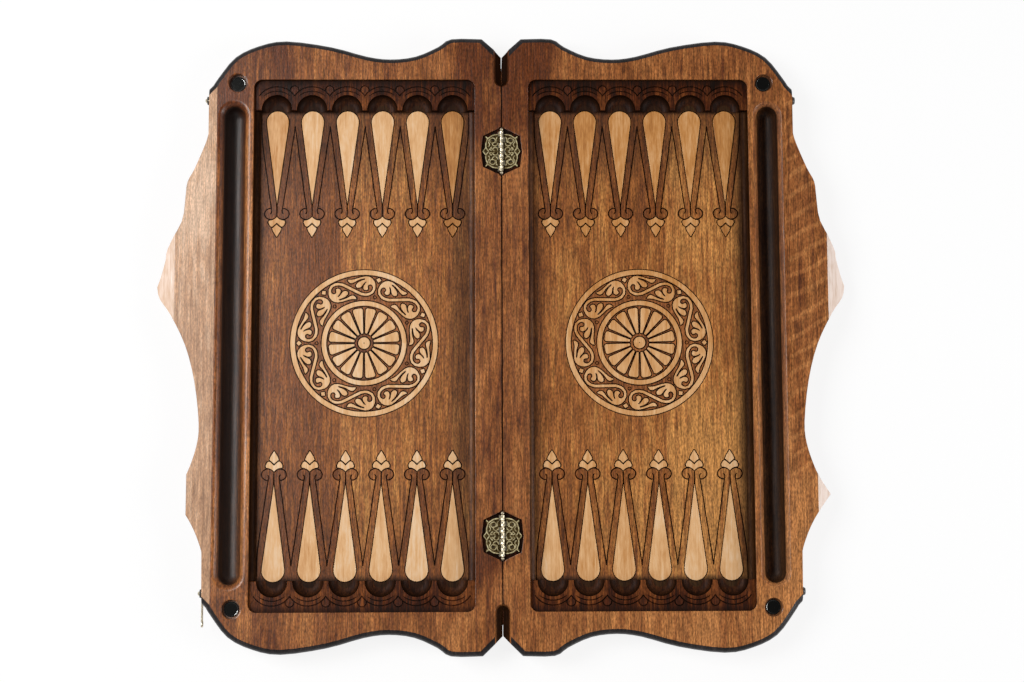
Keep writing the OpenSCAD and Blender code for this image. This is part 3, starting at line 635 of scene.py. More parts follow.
def partition(groups):
    """Cuts overlapping flat shapes apart: points, triangles, and for each triangle the groups it lies in."""
    points, shapes, owners = [], [], []
    for number, group in enumerate(groups):
        for shape in group:
            turn = sum(a.x * b.y - b.x * a.y for a, b in zip(shape, [*shape[1:], shape[0]]))
            shape = shape if turn > 0 else shape[::-1]
            shapes.append(list(range(len(points), len(points) + len(shape))))
            points.extend(Vector(p[:2]) for p in shape)
            owners.append(number)
    made = delaunay_2d_cdt(points, [], shapes, 1, 1e-7)
    return made[0], made[2], [{owners[k] for k in origin} for origin in made[5]]


def lay(bm, points, faces, height):
    """Lays flat triangles at a height and returns them."""
    corners = [bm.verts.new((p.x, p.y, height)) for p in points]
    return [bm.faces.new([corners[k] for k in face]) for face in faces]


def shift_region(bm, faces, rise, slot):
    """Sinks or raises a region of a flat face, with walls down to the rest."""
    for face in faces:
        face.material_index = slot
    made = bmesh.ops.extrude_face_region(bm, geom=faces)["geom"]
    bmesh.ops.translate(bm, verts=corners_of(made), vec=(0, 0, rise))
    old = [f for f in faces if f.is_valid]
    if old:
        bmesh.ops.delete(bm, geom=old, context="FACES")


def carve(bm, height, lines, depth, slot=1, tinted=()):
    """Sinks carved lines into the flat top at a height. Tinted shapes stay level and take the next slot."""
    level = [f for f in bm.faces if f.normal.z > SQUARE]
    top = [f for f in level if all(abs(v.co.z - height) < WELD for v in f.verts)]
    flat = bmesh.ops.triangulate(bm, faces=top)["faces"]
    points, faces, owners = partition([[[v.co for v in f.verts] for f in flat], lines, tinted])
    bmesh.ops.delete(bm, geom=flat, context="FACES")
    kept = [(f, o) for f, o in zip(faces, owners) if 0 in o]
    made = lay(bm, points, [f for f, _ in kept], height)
    sunk = []
    for face, (_, owner) in zip(made, kept):
        if 1 in owner:
            sunk.append(face)
        elif 2 in owner:
            face.material_index = slot + 1
    shift_region(bm, sunk, -depth, slot)
    drop_loose(bm)
    bmesh.ops.remove_doubles(bm, verts=bm.verts, dist=2e-6)
    close_seams(bm)
    bm.normal_update()


def close_seams(bm):
    """Splits open edges at the corners that lie on them, and joins what then meets."""
    seams = [e for e in bm.edges if e.is_boundary]
    corners = KDTree(2 * len(seams))
    for edge in seams:
        for v in edge.verts:
            corners.insert(v.co, v.index)
    corners.balance()
    for edge in seams:
        start, end = edge.verts[0].co.copy(), edge.verts[1]
        span = end.co - start
        cuts = {}
        for co, _, _ in corners.find_range(start + span / 2, span.length / 2):
            share = (co - start).dot(span) / span.length_squared
            if (start + share * span - co).length < WELD < min(share, 1 - share) * span.length:
                cuts[round(share, 6)] = co.copy()
        reach = 1.0
        for share in sorted(cuts, reverse=True):
            _, end = bmesh.utils.edge_split(edge, end, 1 - share / reach)
            end.co, reach = cuts[share], share
    open_verts = list({v for e in bm.edges if e.is_boundary for v in e.verts})
    bmesh.ops.remove_doubles(bm, verts=open_verts, dist=WELD)


def revolve(bm, profile, centre, axis, steps):
    """Turns a profile of (radius, place along the axis) millimetres round an axis through a centre."""
    axis = Vector(axis)
    side = axis.orthogonal().normalized()
    corners = [bm.verts.new(Vector(centre) + side * (r * MM) + axis * (h * MM)) for r, h in profile]
    edges = [bm.edges.new(pair) for pair in zip(corners, corners[1:])]
    bmesh.ops.spin(
        bm, geom=[*corners, *edges], cent=centre, axis=axis, angle=math.tau, steps=steps, use_merge=True
    )
    bmesh.ops.remove_doubles(bm, verts=bm.verts, dist=1e-6)
    bmesh.ops.recalc_face_normals(bm, faces=bm.faces)


def make_piece(name, bm, body, finishes, stands_for=(), sharp=35):
    """Makes a mesh a piece, smooth but for its level faces, that rides on a body and replaces CAD nodes."""
    bmesh.ops.dissolve_degenerate(bm, dist=1e-6, edges=bm.edges)
    for face in bm.faces:
        face.smooth = True
    for edge in bm.edges:
        level = [abs(f.normal.z) > 0.9999 for f in edge.link_faces]
        gentle = edge.is_manifold and edge.calc_face_angle() < math.radians(sharp)
        edge.smooth = gentle and level[0] == level[1]
    mesh = bpy.data.meshes.new(name)
    bm.to_mesh(mesh)
    bm.free()
    for each in finishes:
        mesh.materials.append(finish(each))
    made = bpy.data.objects.new(name, mesh)
    bpy.context.scene.collection.objects.link(made)
    if stands_for:
        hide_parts(*stands_for)
    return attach(made, body)


def point_centres():
    """The distances of the points' middle lines from the seam."""
    return [FIELD_MID + (i - (POINTS - 1) / 2) * POINT_PITCH for i in range(POINTS)]


def placed(rows, x, side, end, flip=1):
    """Rows of (offset, distance) millimetres as board points beside the middle line at x."""
    return [[Vector((side * (x + flip * p[0] * MM), end * p[1] * MM)) for p in row] for row in rows]


# Pieces


class CASE_OT_rails(bpy.types.Operator):
    """Rails and edge boards with dark bevelled ends, rounded rims and bare faces on the bulges"""

    bl_idname = "backgammon.rails"
    bl_label = "Rails"

    # Places of a rail's finishes in its list
    bevel, side, bare, scorched, pale = range(1, 6)
    # The lip on the seam face: its size, and the distance from the seam and the height of its middle
    lip_size, lip_x, lip_z = (0.6 * MM, 558 * MM, 29 * MM), 0.36 * MM, 15 * MM

    def execute(self, context):
        sizes = context.scene.backgammon.carving
        for side in HALVES:
            for parts in (("edge_board", "tray_rail"), ("hinge_rail",), ("far_rail",), ("near_rail",)):
                self.rail(side, parts, sizes)
        return {"FINISHED"}

    def rail(self, side, parts, sizes):
        """One rail, or a tray rail and its edge board, which are glued and shaped as one."""
        nodes = [f"{side}_{part}" for part in parts]
        bm = solid_of(*nodes)
        open_joints(bm, (EDGE_X,))
        bmesh.ops.dissolve_limit(bm, angle_limit=FLAT, verts=bm.verts, edges=bm.edges)
        if parts[-1] in ("tray_rail", "hinge_rail"):
            for y in (-CORNER_Y, CORNER_Y):
                self.split(bm, (0, y, 0), (0, 1, 0))
        self.mark_walls(bm, parts)
        ends, trays, small = [], [], []
        for edge, wall in rim_edges(bm, RIM_Z).items():
            mid = (edge.verts[0].co + edge.verts[1].co) / 2
            if at_distance(mid, (FIELD_IN, FIELD_OUT)) and abs(mid.y) > CORNER_Y:
                continue
            if self.on_end(wall, mid):
                ends.append(tuple(v.co.copy() for v in edge.verts))
            elif self.by_tray(mid):
                trays.append(edge)
            else:
                small.append(tuple(v.co.copy() for v in edge.verts))
        for edge in bm.edges:
            on_lip = all(abs(v.co.z - RIM_Z + TRAY_LIP) < NEAR for v in edge.verts)
            if on_lip and self.by_tray(edge.verts[0].co):
                trays.append(edge)
        round_off(bm, trays, sizes.lip_round, 3)
        ends = self.find(bm, ends)
        for face in round_off(bm, ends, sizes.end_bevel, 3, clamp=False):
            face.material_index = self.bevel
        for face in round_off(bm, self.find(bm, small), sizes.rim_round, 2):
            # The rounding beside the seam painted black: painted shade in the gap between the halves
            if abs(face.calc_center_median().x) < 1.4 * MM:
                face.material_index = self.scorched
        finishes = ["stained_beech_rail", "dark_bevel", "stained_beech_side", "bare_beech", "scorched_beech"]
        if parts[0] == "hinge_rail":
            self.seam_lip(bm, HALVES[side])
        if nodes[0] == "left_edge_board":
            self.split(bm, (-EDGE_X, 0, 0), (1, 0, 0))
            for face in bm.faces:
                if face.material_index == 0 and face.calc_center_median().x < -EDGE_X:
                    face.material_index = self.pale
            finishes.append("pale_beech_edge")
        # Rounding can leave a sliver at a joint of two rails
        bmesh.ops.dissolve_degenerate(bm, dist=1.2e-5, edges=bm.edges)
        make_piece(f"{side}_{parts[-1]}_wood", bm, f"{side}_half", finishes, nodes)

    def mark_walls(self, bm, parts):
        """Gives the outer walls, the underside, the bare facets and the hinge mortises their own finishes."""
        for face in bm.faces:
            mid = face.calc_center_median()
            upright = abs(face.normal.z) < 0.02
            # Mortise faces round the hinges painted black: painted shade in the gap round each leaf
            by_hinge = abs(abs(mid.y) - HINGE_Y) < MORTISE_HALF and 30 * MM < mid.z < RIM_Z - 0.1 * MM
            if by_hinge and parts[0] == "hinge_rail":
                face.material_index = self.scorched
            elif abs(mid.x) > EDGE_X and 0.3 < face.normal.z < 0.9:
                face.material_index = self.bare
            elif is_underside(face):
                face.material_index = self.side
            elif upright and (abs(mid.x) > EDGE_X or abs(mid.x) < 0.5 * MM or self.on_end(face, mid)):
                face.material_index = self.side

    @staticmethod
    def by_tray(point):
        """Whether a point lies on a tray or its lip."""
        return abs(abs(point.x) - TRAY_X) < TRAY_HALF_X and abs(point.y) < TRAY_HALF_Y

    @staticmethod
    def on_end(wall, mid):
        """Whether a wall belongs to the wavy ends of the case, where the bevel runs."""
        joint = at_distance(wall.calc_center_median(), (FIELD_IN, FIELD_OUT))
        outward = wall.normal.y * math.copysign(1, mid.y) > 0.02 and abs(wall.normal.z) < 0.02
        in_bore = math.hypot(abs(mid.x) - MAGNET_X, abs(mid.y) - MAGNET_Y) < BORE_REACH
        return outward and not joint and abs(mid.y) > FLANK_Y and not in_bore

    @staticmethod
    def split(bm, place, normal):
        """Cuts all faces along a plane and keeps both sides."""
        bmesh.ops.bisect_plane(bm, geom=[*bm.verts, *bm.edges, *bm.faces], plane_co=place, plane_no=normal)
        bm.normal_update()

    @staticmethod
    def find(bm, rows):
        """The rim edges that still lie where they did before other edges were rounded."""

        def key(places):
            return frozenset(tuple(round(c, 6) for c in co) for co in places)

        kept = {key(pair) for pair in rows}
        return [e for e in rim_edges(bm, RIM_Z) if key(v.co for v in e.verts) in kept]

    def seam_lip(self, bm, sign):
        """A thin lip low on the seam face, which keeps light from showing between the halves."""
        lip = bmesh.ops.create_cube(bm, size=1)["verts"]
        bmesh.ops.scale(bm, verts=lip, vec=self.lip_size)
        bmesh.ops.translate(bm, verts=lip, vec=(sign * self.lip_x, 0, self.lip_z))
        for face in {f for v in lip for f in v.link_faces}:
            face.material_index = self.side


class CASE_OT_floors(bpy.types.Operator):
    """Field floors of three staves, carved with the bands and volutes round the points"""

    bl_idname = "backgammon.floors"
    bl_label = "Field floors"

    # Half of the carved band beside a point: offset from its middle line, distance from the board's
    flank = [(14.7, 200), (13.4, 190), (11.9, 180), (10.4, 170), (9.1, 160)]
    flank += [(8.2, 154), (7.2, 147), (6.1, 140), (5.5, 136)]
    peak = [(17.7, 221), (16.4, 211)]
    wall_run = [(16.3, 236), (16.1, 222), (15.7, 210)]
    curl = [(5.6, 137), (5.2, 134.5), (5.6, 132.2), (7, 130.9)]
    volute = [(5.5, 136), (7, 136.6), (8.7, 136.2), (11, 134.6), (12.2, 132.3), (12.2, 130)]
    volute += [(11.2, 127.8), (9, 126.1), (5.6, 125.3), (2.6, 126.3), (0.5, 128.6)]
    stem = [(0, 139.2), (0, 134), (0, 129.2)]

    def lines(self, side):
        """All carved lines of one field floor."""
        quads = []
        for end in ENDS.values():
            for i, x in enumerate(point_centres()):
                for flip in (-1, 1):
                    outermost = (i == 0 and flip < 0) or (i == POINTS - 1 and flip > 0)
                    edge = (self.wall_run if outermost else self.peak) + self.flank
                    edge, curl, volute = placed([edge, self.curl, self.volute], x, side, end, flip)
                    quads += strip(curve_through(edge, 3), 1.2 * MM)
                    quads += strip(curve_through(curl, 4), 1.3 * MM, 0.3)
                    quads += strip(curve_through(volute, 4), 1.3 * MM, 0.12)
                quads += strip(placed([self.stem], x, side, end)[0], 1.3 * MM)
        return quads

    def bands(self, side):
        """The flat bands beside the points, down to the ends of their volutes."""
        made = []
        rows = [[(17.7, 236)] + self.peak + self.flank, self.volute, [(0, 129), (0, 236)]]
        for end in ENDS.values():
            for x in point_centres():
                for flip in (-1, 1):
                    edge, volute, middle = placed(rows, x, side, end, flip)
                    flank, curl = curve_through(edge[1:], 3), curve_through(volute, 4)
                    made.append([edge[0], *flank, *curl[1:], *middle])
        return made

    def outlines(self, side):
        """Carved outlines round the points and fleurons of one field."""
        made = []
        for kind, width in (("points", 0.5), ("fleurons", 0.95)):
            for end in ENDS:
                bm = solid_of(f"{side}_{end}_{kind}")
                top = max(v.co.z for v in bm.verts)
                for edge in rim_edges(bm, top):
                    made += strip([v.co.xy for v in edge.verts], 2 * width * MM)
                bm.free()
        return made

    def execute(self, context):
        sizes = context.scene.backgammon.carving
        finishes = ("stained_beech_floor", "scorched_beech", "stained_beech_band", "stained_beech_side")
        # Places in the list of finishes
        burnt, underside = 1, 3
        for side, sign in HALVES.items():
            nodes = [f"{side}_{part}_stave" for part in ("inner", "middle", "outer")]
            bm = solid_of(*nodes)
            joints = {round(abs(corner.x), 5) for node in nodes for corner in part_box(node)}
            open_joints(bm, joints - {round(FIELD_IN, 5), round(FIELD_OUT, 5)})
            for face in bm.faces:
                mid = face.calc_center_median()
                low = 1 * MM < mid.z < FLOOR_Z - 0.1 * MM
                inside = FIELD_IN + 0.1 * MM < abs(mid.x) < FIELD_OUT - 0.1 * MM
                if low and inside and abs(mid.y) < FIELD_HALF - 0.1 * MM:
                    face.material_index = burnt
                elif is_underside(face):
                    face.material_index = underside
            lines = self.lines(sign) + self.outlines(side)
            carve(bm, FLOOR_Z, lines, sizes.line_depth, tinted=self.bands(sign))
            make_piece(f"{side}_floor", bm, f"{side}_half", finishes, nodes, sharp=2)
        return {"FINISHED"}


class CASE_OT_combs(bpy.types.Operator):
    """Scalloped combs at both ends of each field, carved with double arcs and drops"""

    bl_idname = "backgammon.combs"
    bl_label = "Combs"

    # Distances from the middle of the board: of the drops' middles, and as far as the tongues' edges carry
    # the painted highlight
    drop_y, rubbed_y = 256.4, 252
    # Rounding of the tongues' tips and of their edges
    tip_round, edge_round = 3 * MM, 0.7 * MM

    def carving(self, sign, way):
        """The carved lines of a comb, and the drops between its arcs."""

        def bow(radius, middle, *degrees):
            turns = [math.radians(a) for a in range(*degrees)]
            return [(radius * math.sin(t), middle + radius * math.cos(t)) for t in turns]

        def loop(radius, *degrees):
            turns = [math.radians(a) for a in range(*degrees)]
            return [(radius * math.cos(t), self.drop_y + radius * math.sin(t)) for t in turns]

        lines, drops = [], []
        centres = point_centres()
        for x in centres:
            outer, inner = placed([bow(21.4, 238.3, -56, 57, 7), bow(21, 234, -40, 41, 8)], x, sign, way)
            lines += strip(outer, 1.25 * MM) + strip(inner, 1.1 * MM, 0.2)
        for x in centres[:-1]:
            rows = [loop(4.3, -12, 193, 17), [(0, 251.6), *loop(3.6, -24, 205, 19)]]
            ring, drop = placed(rows, x + POINT_PITCH / 2, sign, way)
            lines += strip(ring, 1.2 * MM)
            drops.append(drop)
        return lines, drops

    def execute(self, context):
        sizes = context.scene.backgammon.carving
        darker = ("dark_stained_beech", "scorched_beech", "worn_stained_beech")
        finishes = (*darker, "rubbed_edge", "stained_beech_side")
        # Places in the list of finishes
        rubbed, underside = 3, 4
        for side, sign in HALVES.items():
            for end, way in ENDS.items():
                node = f"{side}_{end}_comb"
                bm = solid_of(node)
                for face in bm.faces:
                    if is_underside(face):
                        face.material_index = underside
                lines, drops = self.carving(sign, way)
                carve(bm, COMB_Z, lines, sizes.line_depth, tinted=drops)
                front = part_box(node)[0].y if way > 0 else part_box(node)[1].y
                rim = rim_edges(bm, COMB_Z)
                tips = [e for e in rim if all(abs(v.co.y - front) < NEAR for v in e.verts)]
                round_off(bm, tips, self.tip_round, 3)
                middles = {e: (e.verts[0].co + e.verts[1].co) / 2 for e in rim_edges(bm, COMB_Z)}
                # Rounded tongue edges take the painted highlight finish
                edges = [e for e, mid in middles.items() if abs(mid.y) < self.rubbed_y * MM]
                for face in round_off(bm, edges, self.edge_round, 3):
                    face.material_index = rubbed
                make_piece(f"{node}_wood", bm, f"{side}_half", finishes, (node,))
        return {"FINISHED"}


class CASE_OT_inlays(bpy.types.Operator):
    """Pale points, fleurons and medallions with softened edges, and the carved ground of each medallion"""

    bl_idname = "backgammon.inlays"
    bl_label = "Inlays"

    # Small diamonds in a ring, each with a carved line round it, and their distance from the middle
    diamonds, diamond_reach = 7, 47.4

    def execute(self, context):
        sizes = context.scene.backgammon.carving
        finishes = ("maple_inlay", "scorched_beech")
        for side, sign in HALVES.items():
            kinds = [f"{end}_{kind}" for end in ENDS for kind in ("points", "fleurons")]
            for kind in kinds + ["medallion_rings", "medallion_petals", "medallion_scrolls"]:
                node = f"{side}_{kind}"
                bm = solid_of(node)
                top = max(v.co.z for v in bm.verts)
                round_off(bm, list(rim_edges(bm, top)), sizes.inlay_round, 2)
                middle = Vector((sign * FIELD_MID, 0))
                # The prick of the compass in the boss
                if any((v.co.xy - middle).length < 7 * MM for v in bm.verts):
                    carve(bm, top, [arc(middle, 0.55 * MM, 12)[:-1]], 0.4 * MM)
                make_piece(f"{node}_inlay", bm, f"{side}_half", finishes, (node,), sharp=50)
            self.ground(side, sign, sizes)
        return {"FINISHED"}

    def ground(self, side, sign, sizes):
        """Stained ground between a medallion's pale pieces, with a dark line left round each of them."""
        pale, moats = [], []
        for kind in ("rings", "petals", "scrolls"):
            bm = solid_of(f"{side}_medallion_{kind}")
            top = max(v.co.z for v in bm.verts)
            flat = [f for f in bm.faces if f.normal.z > SQUARE]
            for edge in rim_edges(bm, top):
                moats += strip([v.co.xy for v in edge.verts], 2 * sizes.moat)
            pale += [[v.co.xy for v in f.verts] for f in bmesh.ops.triangulate(bm, faces=flat)["faces"]]
            bm.free()
        middle = (sign * FIELD_MID, 0)
        for i in range(self.diamonds):
            turn = math.tau * i / self.diamonds
            way = Vector((sign * math.cos(turn), math.sin(turn)))
            moats += strip(arc(Vector(middle) + self.diamond_reach * MM * way, 1.6 * MM, 12), 0.9 * MM)
        low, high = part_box(f"{side}_medallion_rings")
        disc = arc(middle, (high.x - low.x) / 2, 96)[:-1]
        points, faces, owners = partition([[disc], pale, moats])
        bm = bmesh.new()
        made = lay(bm, points, [f for f, o in zip(faces, owners) if o == {0}], GROUND_Z)
        drop_loose(bm)
        walls = bmesh.ops.extrude_face_region(bm, geom=made, use_keep_orig=True)["geom"]
        bmesh.ops.translate(bm, verts=corners_of(walls), vec=(0, 0, RECESS_Z - GROUND_Z))
        bmesh.ops.recalc_face_normals(bm, faces=bm.faces)
        name = f"{side}_medallion_ground"
        make_piece(name, bm, f"{side}_half", ("medallion_ground",), sharp=2)


class CASE_OT_hinges(bpy.types.Operator):
    """Antique brass butt hinges with filigree leaves, rounded knuckles, finials and slotted screws"""

    bl_idname = "backgammon.hinges"
    bl_label = "Hinges"

    # Upper half of a leaf, in millimetres from the pin and from the hinge's middle
    outline = [(2.5, 17.9), (6, 17.5), (9.5, 16.8), (12.2, 15.2), (14.4, 14.6), (16.4, 16.2), (16.6, 14)]
    outline += [(15.5, 11.8), (16.2, 9), (16.6, 6), (16.6, 3.4), (17.6, 2), (19.4, 0)]
    rim = [(2.8, 17.2), (6, 16.9), (9.4, 16), (12, 14.2), (14, 12.6), (14.7, 10.6), (15.5, 8.4)]
    rim += [(15.8, 6), (15.4, 3.6), (14, 1.4), (12.6, 0)]
    # Raised rim and scrolls, each with its width
    ridges = [
        (rim, 1.1),
        ([(13.2, 13), (14.6, 13.8), (16, 15.4)], 1.0),
        ([(15.6, 4.2), (17, 2.1), (18.7, 0)], 0.9),
        ([(4, 8.6), (4.6, 6.4), (6.6, 5.4), (8.8, 6.4), (9, 8.4), (7.4, 9.2)], 0.9),
        ([(4, 14.6), (5.4, 12.6), (5.2, 10.2), (6.4, 8.8)], 0.8),
        ([(13.6, 9.6), (12, 7.6), (12.4, 5.4), (13.8, 4.6)], 0.9),
        ([(3.6, 0.6), (4.2, 3), (6, 4), (8.2, 3.2), (8.4, 1.2), (6.8, 0.7)], 0.9),
        ([(9.6, 4.6), (11.2, 3.2), (12.4, 1.2)], 0.8),
        ([(11.4, 12.8), (12.8, 11), (12.4, 9.2)], 0.7),
    ]
    # Right half of a knuckle's section, and a screw's, as radius and place along the axis
    knuckle = [(0.95, -2.8), (1.7, -2.8), (2.1, -2.4), (2.1, -0.9), (2.0, -0.6), (2.0, 0.6)]
    knuckle += [(2.1, 0.9), (2.1, 2.4), (1.7, 2.8), (0.95, 2.8), (0.95, -2.8)]
    screw = [(0, -12), (0.6, -11.2), (1.05, -9), (1.05, -1.2), (1.9, -0.25), (1.9, -0.05)]
    screw += [(1.75, 0), (0, 0)]
    # Knuckles, by turns on the left and on the right leaf: how many, where the first starts, and their pitch
    knuckles, knuckle_start, knuckle_pitch = 7, -20.65, 5.9
    # A screw's distances from the pin and from the hinge's middle
    screw_x, screw_y = 9, 11
    # Height of the raised rim and scrolls above the plate
    relief = 0.6 * MM

    def execute(self, context):
        for end, way in ENDS.items():
            for side, sign in HALVES.items():
                self.leaf(end, way, side, sign)
            self.pin(end, way)
        for side, sign in HALVES.items():
            self.screws(side, sign)
        return {"FINISHED"}

    def leaf(self, end, way, side, sign):
        """One leaf: a patinated plate, its raised rim and scrolls, and its knuckles."""
        node = f"{end}_hinge_{side}_leaf"
        bm = bmesh.new()
        centre = Vector((0, way * HINGE_Y))

        def on_leaf(row, flip=1):
            return [centre + Vector((sign * x, flip * y)) * MM for x, y in row]

        plate = on_leaf(self.outline) + on_leaf(self.outline[:-1], -1)[::-1]
        raised = []
        for row, width in self.ridges:
            for flip in (-1, 1):
                raised += strip(curve_through(on_leaf(row, flip), 4), width * MM, 0.1)
        for flip in (-1, 1):
            hole, eye = on_leaf([(9, flip * 10.9), (10.4, flip * 2.2)])
            raised += strip(arc(hole, 2.7 * MM, 16), 0.8 * MM) + strip(arc(eye, 1.1 * MM, 10), 0.7 * MM)
        points, faces, owners = partition([[plate], raised])
        kept = [(f, o) for f, o in zip(faces, owners) if 0 in o]
        made = lay(bm, points, [f for f, _ in kept], LEAF_TOP - self.relief)
        for face in made:
            face.material_index = 1
        shift_region(bm, [f for f, (_, o) in zip(made, kept) if 1 in o], self.relief, 2)
        drop_loose(bm)
        skirt = bmesh.ops.extrude_edge_only(bm, edges=[e for e in bm.edges if e.is_boundary])["geom"]
        for corner in corners_of(skirt):
            corner.co.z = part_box(node)[0].z
        bmesh.ops.edgeloop_fill(bm, edges=[e for e in bm.edges if e.is_boundary])
        low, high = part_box(f"{end}_hinge_pin")
        for k in range(0 if side == "left" else 1, self.knuckles, 2):
            y = way * HINGE_Y + (self.knuckle_start + (k + 0.5) * self.knuckle_pitch) * MM
            part = bmesh.new()
            revolve(part, self.knuckle, (0, y, (low.z + high.z) / 2), (0, 1, 0), 28)
            tab = bmesh.ops.create_cube(part, size=1)["verts"]
            bmesh.ops.scale(part, verts=tab, vec=(2.4 * MM, 5 * MM, 1.2 * MM))
            bmesh.ops.translate(part, verts=tab, vec=(sign * 2.4 * MM, y, LEAF_TOP - 0.7 * MM))
            append(bm, part)
        bmesh.ops.recalc_face_normals(bm, faces=bm.faces)
        finishes = ("antique_brass", "brass_patina", "rubbed_brass")
        make_piece(f"{node}_brass", bm, f"{side}_half", finishes, (node,))

    def pin(self, end, way):
        """The pin with a turned finial at each end."""
        node = f"{end}_hinge_pin"
        low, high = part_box(node)
        centre = (0, way * HINGE_Y, (low.z + high.z) / 2)
        reach = (high.y - low.y) / 2 / MM
        # Radius and distance from the tip
        finial = [(0.0, 0), (0.7, 0.2), (1.3, 0.8), (1.8, 1.7), (1.85, 2.2), (1.4, 3), (1.0, 3.3), (0.9, 4)]
        half = [(r, reach - h) for r, h in finial]
        bm = bmesh.new()
        revolve(bm, half + [(r, -h) for r, h in reversed(half)], centre, (0, 1, 0), 28)
        make_piece(f"{node}_brass", bm, "left_half", ("antique_brass",), (node,), sharp=60)

    def screws(self, side, sign):
        """Slotted countersunk screws of the hinges on one half."""
        node = f"{side}_hinge_screws"
        bm = bmesh.new()
        for way in ENDS.values():
            for flip in (-1, 1):
                x, y = sign * self.screw_x * MM, way * HINGE_Y + flip * self.screw_y * MM
                part = bmesh.new()
                revolve(part, self.screw, (x, y, LEAF_TOP), (0, 0, 1), 24)
                part.normal_update()
                ends = [Vector((x + k * 1.5 * MM, y + k * 0.8 * MM)) for k in (-1, 1)]
                carve(part, LEAF_TOP, strip(ends, 0.5 * MM), 0.4 * MM)
                append(bm, part)
        finishes = ("brass_patina", "blackened_steel")
        make_piece(f"{node}_brass", bm, f"{side}_half", finishes, (node,))


class CASE_OT_magnets(bpy.types.Operator):
    """Nickel-plated magnet discs with a raised rim, at the bottom of the corner bores"""

    bl_idname = "backgammon.magnets"
    bl_label = "Corner magnets"

    # Right half of a disc's section, as radius and height above its rim
    section = [(0, -3.5), (7.4, -3.5), (7.7, -3.2), (7.7, -0.25), (7.45, 0), (6.3, 0)]
    section += [(6.14, -0.05), (0, -0.05)]

    def execute(self, context):
        for side, sign in HALVES.items():
            node = f"{side}_corner_magnets"
            bm = bmesh.new()
            for way in ENDS.values():
                rim = (sign * MAGNET_X, way * MAGNET_Y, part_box(node)[1].z)
                revolve(bm, self.section, rim, (0, 0, 1), 48)
            make_piece(f"{node}_disc", bm, f"{side}_half", ("nickel_plate",), (node,))
        return {"FINISHED"}


class CASE_OT_latches(bpy.types.Operator):
    """Hook latches on the left flank: hooks, pivots, washers, and the studs that they catch"""

    bl_idname = "backgammon.latches"
    bl_label = "Hook latches"

    def execute(self, context):
        rows = (
            ("far_hook", "far_latch", "antique_brass"),
            ("near_hook", "near_latch", "antique_brass"),
            ("latch_pivot_screws", "left_half", "antique_brass"),
            ("latch_washers", "left_half", "blackened_steel"),
            ("latch_studs", "right_half", "blackened_steel"),
        )
        for node, body, metal in rows:
            bm = solid_of(node)
            sharp = [e for e in bm.edges if e.is_manifold and e.calc_face_angle() > math.radians(50)]
            round_off(bm, sharp, 0.25 * MM, 2)
            make_piece(f"{node}_metal", bm, body, (metal,), (node,))
        return {"FINISHED"}


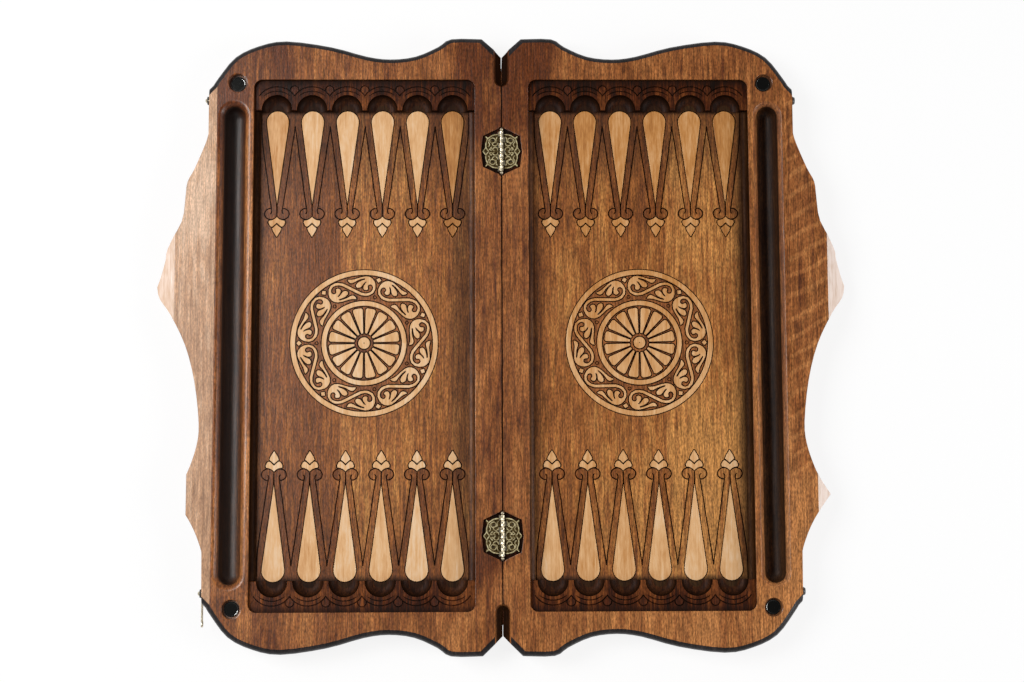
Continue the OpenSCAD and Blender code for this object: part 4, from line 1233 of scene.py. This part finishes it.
class CASE_OT_stage(bpy.types.Operator):
    """Pale floor, soft studio light and the camera above the open case"""

    bl_idname = "backgammon.stage"
    bl_label = "Stage"

    # The camera's place, its turn from straight down, its sensor, and its focal length and width in pixels
    place, turn = Vector((-0.01665, -0.19504, 1.77501)), Vector((-0.1118, 0.015, 0.0029))
    sensor, focal_pixels, width_pixels = 36, 1762.2, 1024

    def execute(self, context):
        settings = context.scene.backgammon.stage
        self.floor(settings)
        self.room(settings)
        self.lamp("left_softbox", (-1.4, 0.35, 1.8), (1.0, 1.3), settings.left_watts)
        self.lamp("right_softbox", (1.95, -0.4, 1.25), (1.0, 1.4), settings.right_watts)
        camera = bpy.data.objects.new("camera", bpy.data.cameras.new("camera"))
        context.scene.collection.objects.link(camera)
        # Above the case, leaning back a little, with the photo's angle of view
        turned = Matrix.Rotation(-self.turn.length, 4, self.turn)
        camera.matrix_world = Matrix.Translation(self.place) @ turned
        camera.data.sensor_width = self.sensor
        camera.data.lens = self.sensor * self.focal_pixels / self.width_pixels
        camera.data.clip_end = 20
        context.scene.camera = camera
        context.scene.view_settings.view_transform = "Standard"
        return {"FINISHED"}

    def floor(self, settings):
        """A sheet of studio paper under the case."""
        bm = bmesh.new()
        bmesh.ops.create_grid(bm, x_segments=2, y_segments=2, size=4)
        mesh = bpy.data.meshes.new("floor")
        bm.to_mesh(mesh)
        bm.free()
        floor = bpy.data.objects.new("floor", mesh)
        bpy.context.scene.collection.objects.link(floor)
        floor.data.materials.append(self.paper(settings))
        # A hair below the case, whose underside lies at zero
        floor.data.transform(Matrix.Translation((0, 0, -0.1 * MM)))

    def room(self, settings):
        """Even light from walls that are dark overhead, behind a plain backdrop."""
        world = bpy.data.worlds.new("studio")
        world.use_nodes = True
        bpy.context.scene.world = world
        tree = world.node_tree
        way = add(tree, "TexCoord", out="Generated")
        rise = add(tree, "SeparateXYZ", (way,), out=2)
        walls = add(tree, "ValToRGB", (rise,), greys((0.0, 0.9), (0.45, 1), (0.72, 0.6), (0.88, 0.03)))
        room = tree.nodes["Background"]
        feed(tree, room, (walls, settings.sky))
        backdrop = add(tree, "Background", {"Color": settings.background})
        seen = add(tree, "LightPath", out="Is Camera Ray")
        both = add(tree, "MixShader", (seen, room.outputs[0], backdrop))
        feed(tree, tree.nodes["World Output"], (both,))

    def paper(self, settings):
        """Matt studio paper, white to the camera and in reflections, that still takes the case's shadow."""
        white = settings.background
        made, tree, shader = surface("studio_paper", {"Roughness": 0.9, "Base Color": white})
        glow = add(tree, "Emission", {"Color": white, "Strength": 1.0})
        rays = [add(tree, "LightPath", out=f"Is {kind} Ray") for kind in ("Camera", "Glossy")]
        seen = add(tree, "Math", rays, operation="MAXIMUM")
        # Far from the case no shadow falls, and the paper fades into the backdrop
        spot = add(tree, "TexCoord", out="Object")
        reach = add(tree, "VectorMath", (spot,), out=1, operation="LENGTH")
        fade = add(tree, "MapRange", (reach, 1.0, 3.0, 0.85))
        share = add(tree, "Math", (seen, fade), operation="MULTIPLY")
        both = add(tree, "MixShader", (share, shader.outputs[0], glow))
        feed(tree, tree.nodes["Material Output"], (both,))
        return made

    def lamp(self, name, place, size, power):
        """A rectangular softbox that looks at the middle of the case."""
        light = bpy.data.lights.new(name, "AREA")
        light.shape = "RECTANGLE"
        light.size, light.size_y = size
        light.energy = power
        made = bpy.data.objects.new(name, light)
        made.location = place
        made.rotation_euler = (-Vector(place)).to_track_quat("-Z", "Y").to_euler()
        bpy.context.scene.collection.objects.link(made)


OPERATORS = (
    CASE_OT_stage,
    CASE_OT_rails,
    CASE_OT_floors,
    CASE_OT_combs,
    CASE_OT_inlays,
    CASE_OT_hinges,
    CASE_OT_magnets,
    CASE_OT_latches,
)


class CASE_PT_panel(bpy.types.Panel):
    """Lists the case's pieces and settings"""

    bl_idname = "CASE_PT_panel"
    bl_label = "Backgammon Case"
    bl_space_type = "VIEW_3D"
    bl_region_type = "UI"
    bl_category = "Backgammon"

    def draw(self, context):
        settings = context.scene.backgammon
        for group in (settings.wood, settings.carving, settings.stage):
            box = self.layout.box()
            for name in group.__annotations__:
                box.prop(group, name)
        for each in OPERATORS:
            self.layout.operator(each.bl_idname)


CLASSES = (WoodColours, CarvingSizes, StageSettings, CaseSettings, *OPERATORS, CASE_PT_panel)


def register():
    for each in CLASSES:
        bpy.utils.register_class(each)
    bpy.types.Scene.backgammon = bpy.props.PointerProperty(type=CaseSettings)


def unregister():
    del bpy.types.Scene.backgammon
    for each in reversed(CLASSES):
        bpy.utils.unregister_class(each)


def main():
    """Makes the whole case."""
    register()
    for each in OPERATORS:
        group, name = each.bl_idname.split(".")
        getattr(getattr(bpy.ops, group), name)()


if __name__ == "__main__":
    main()
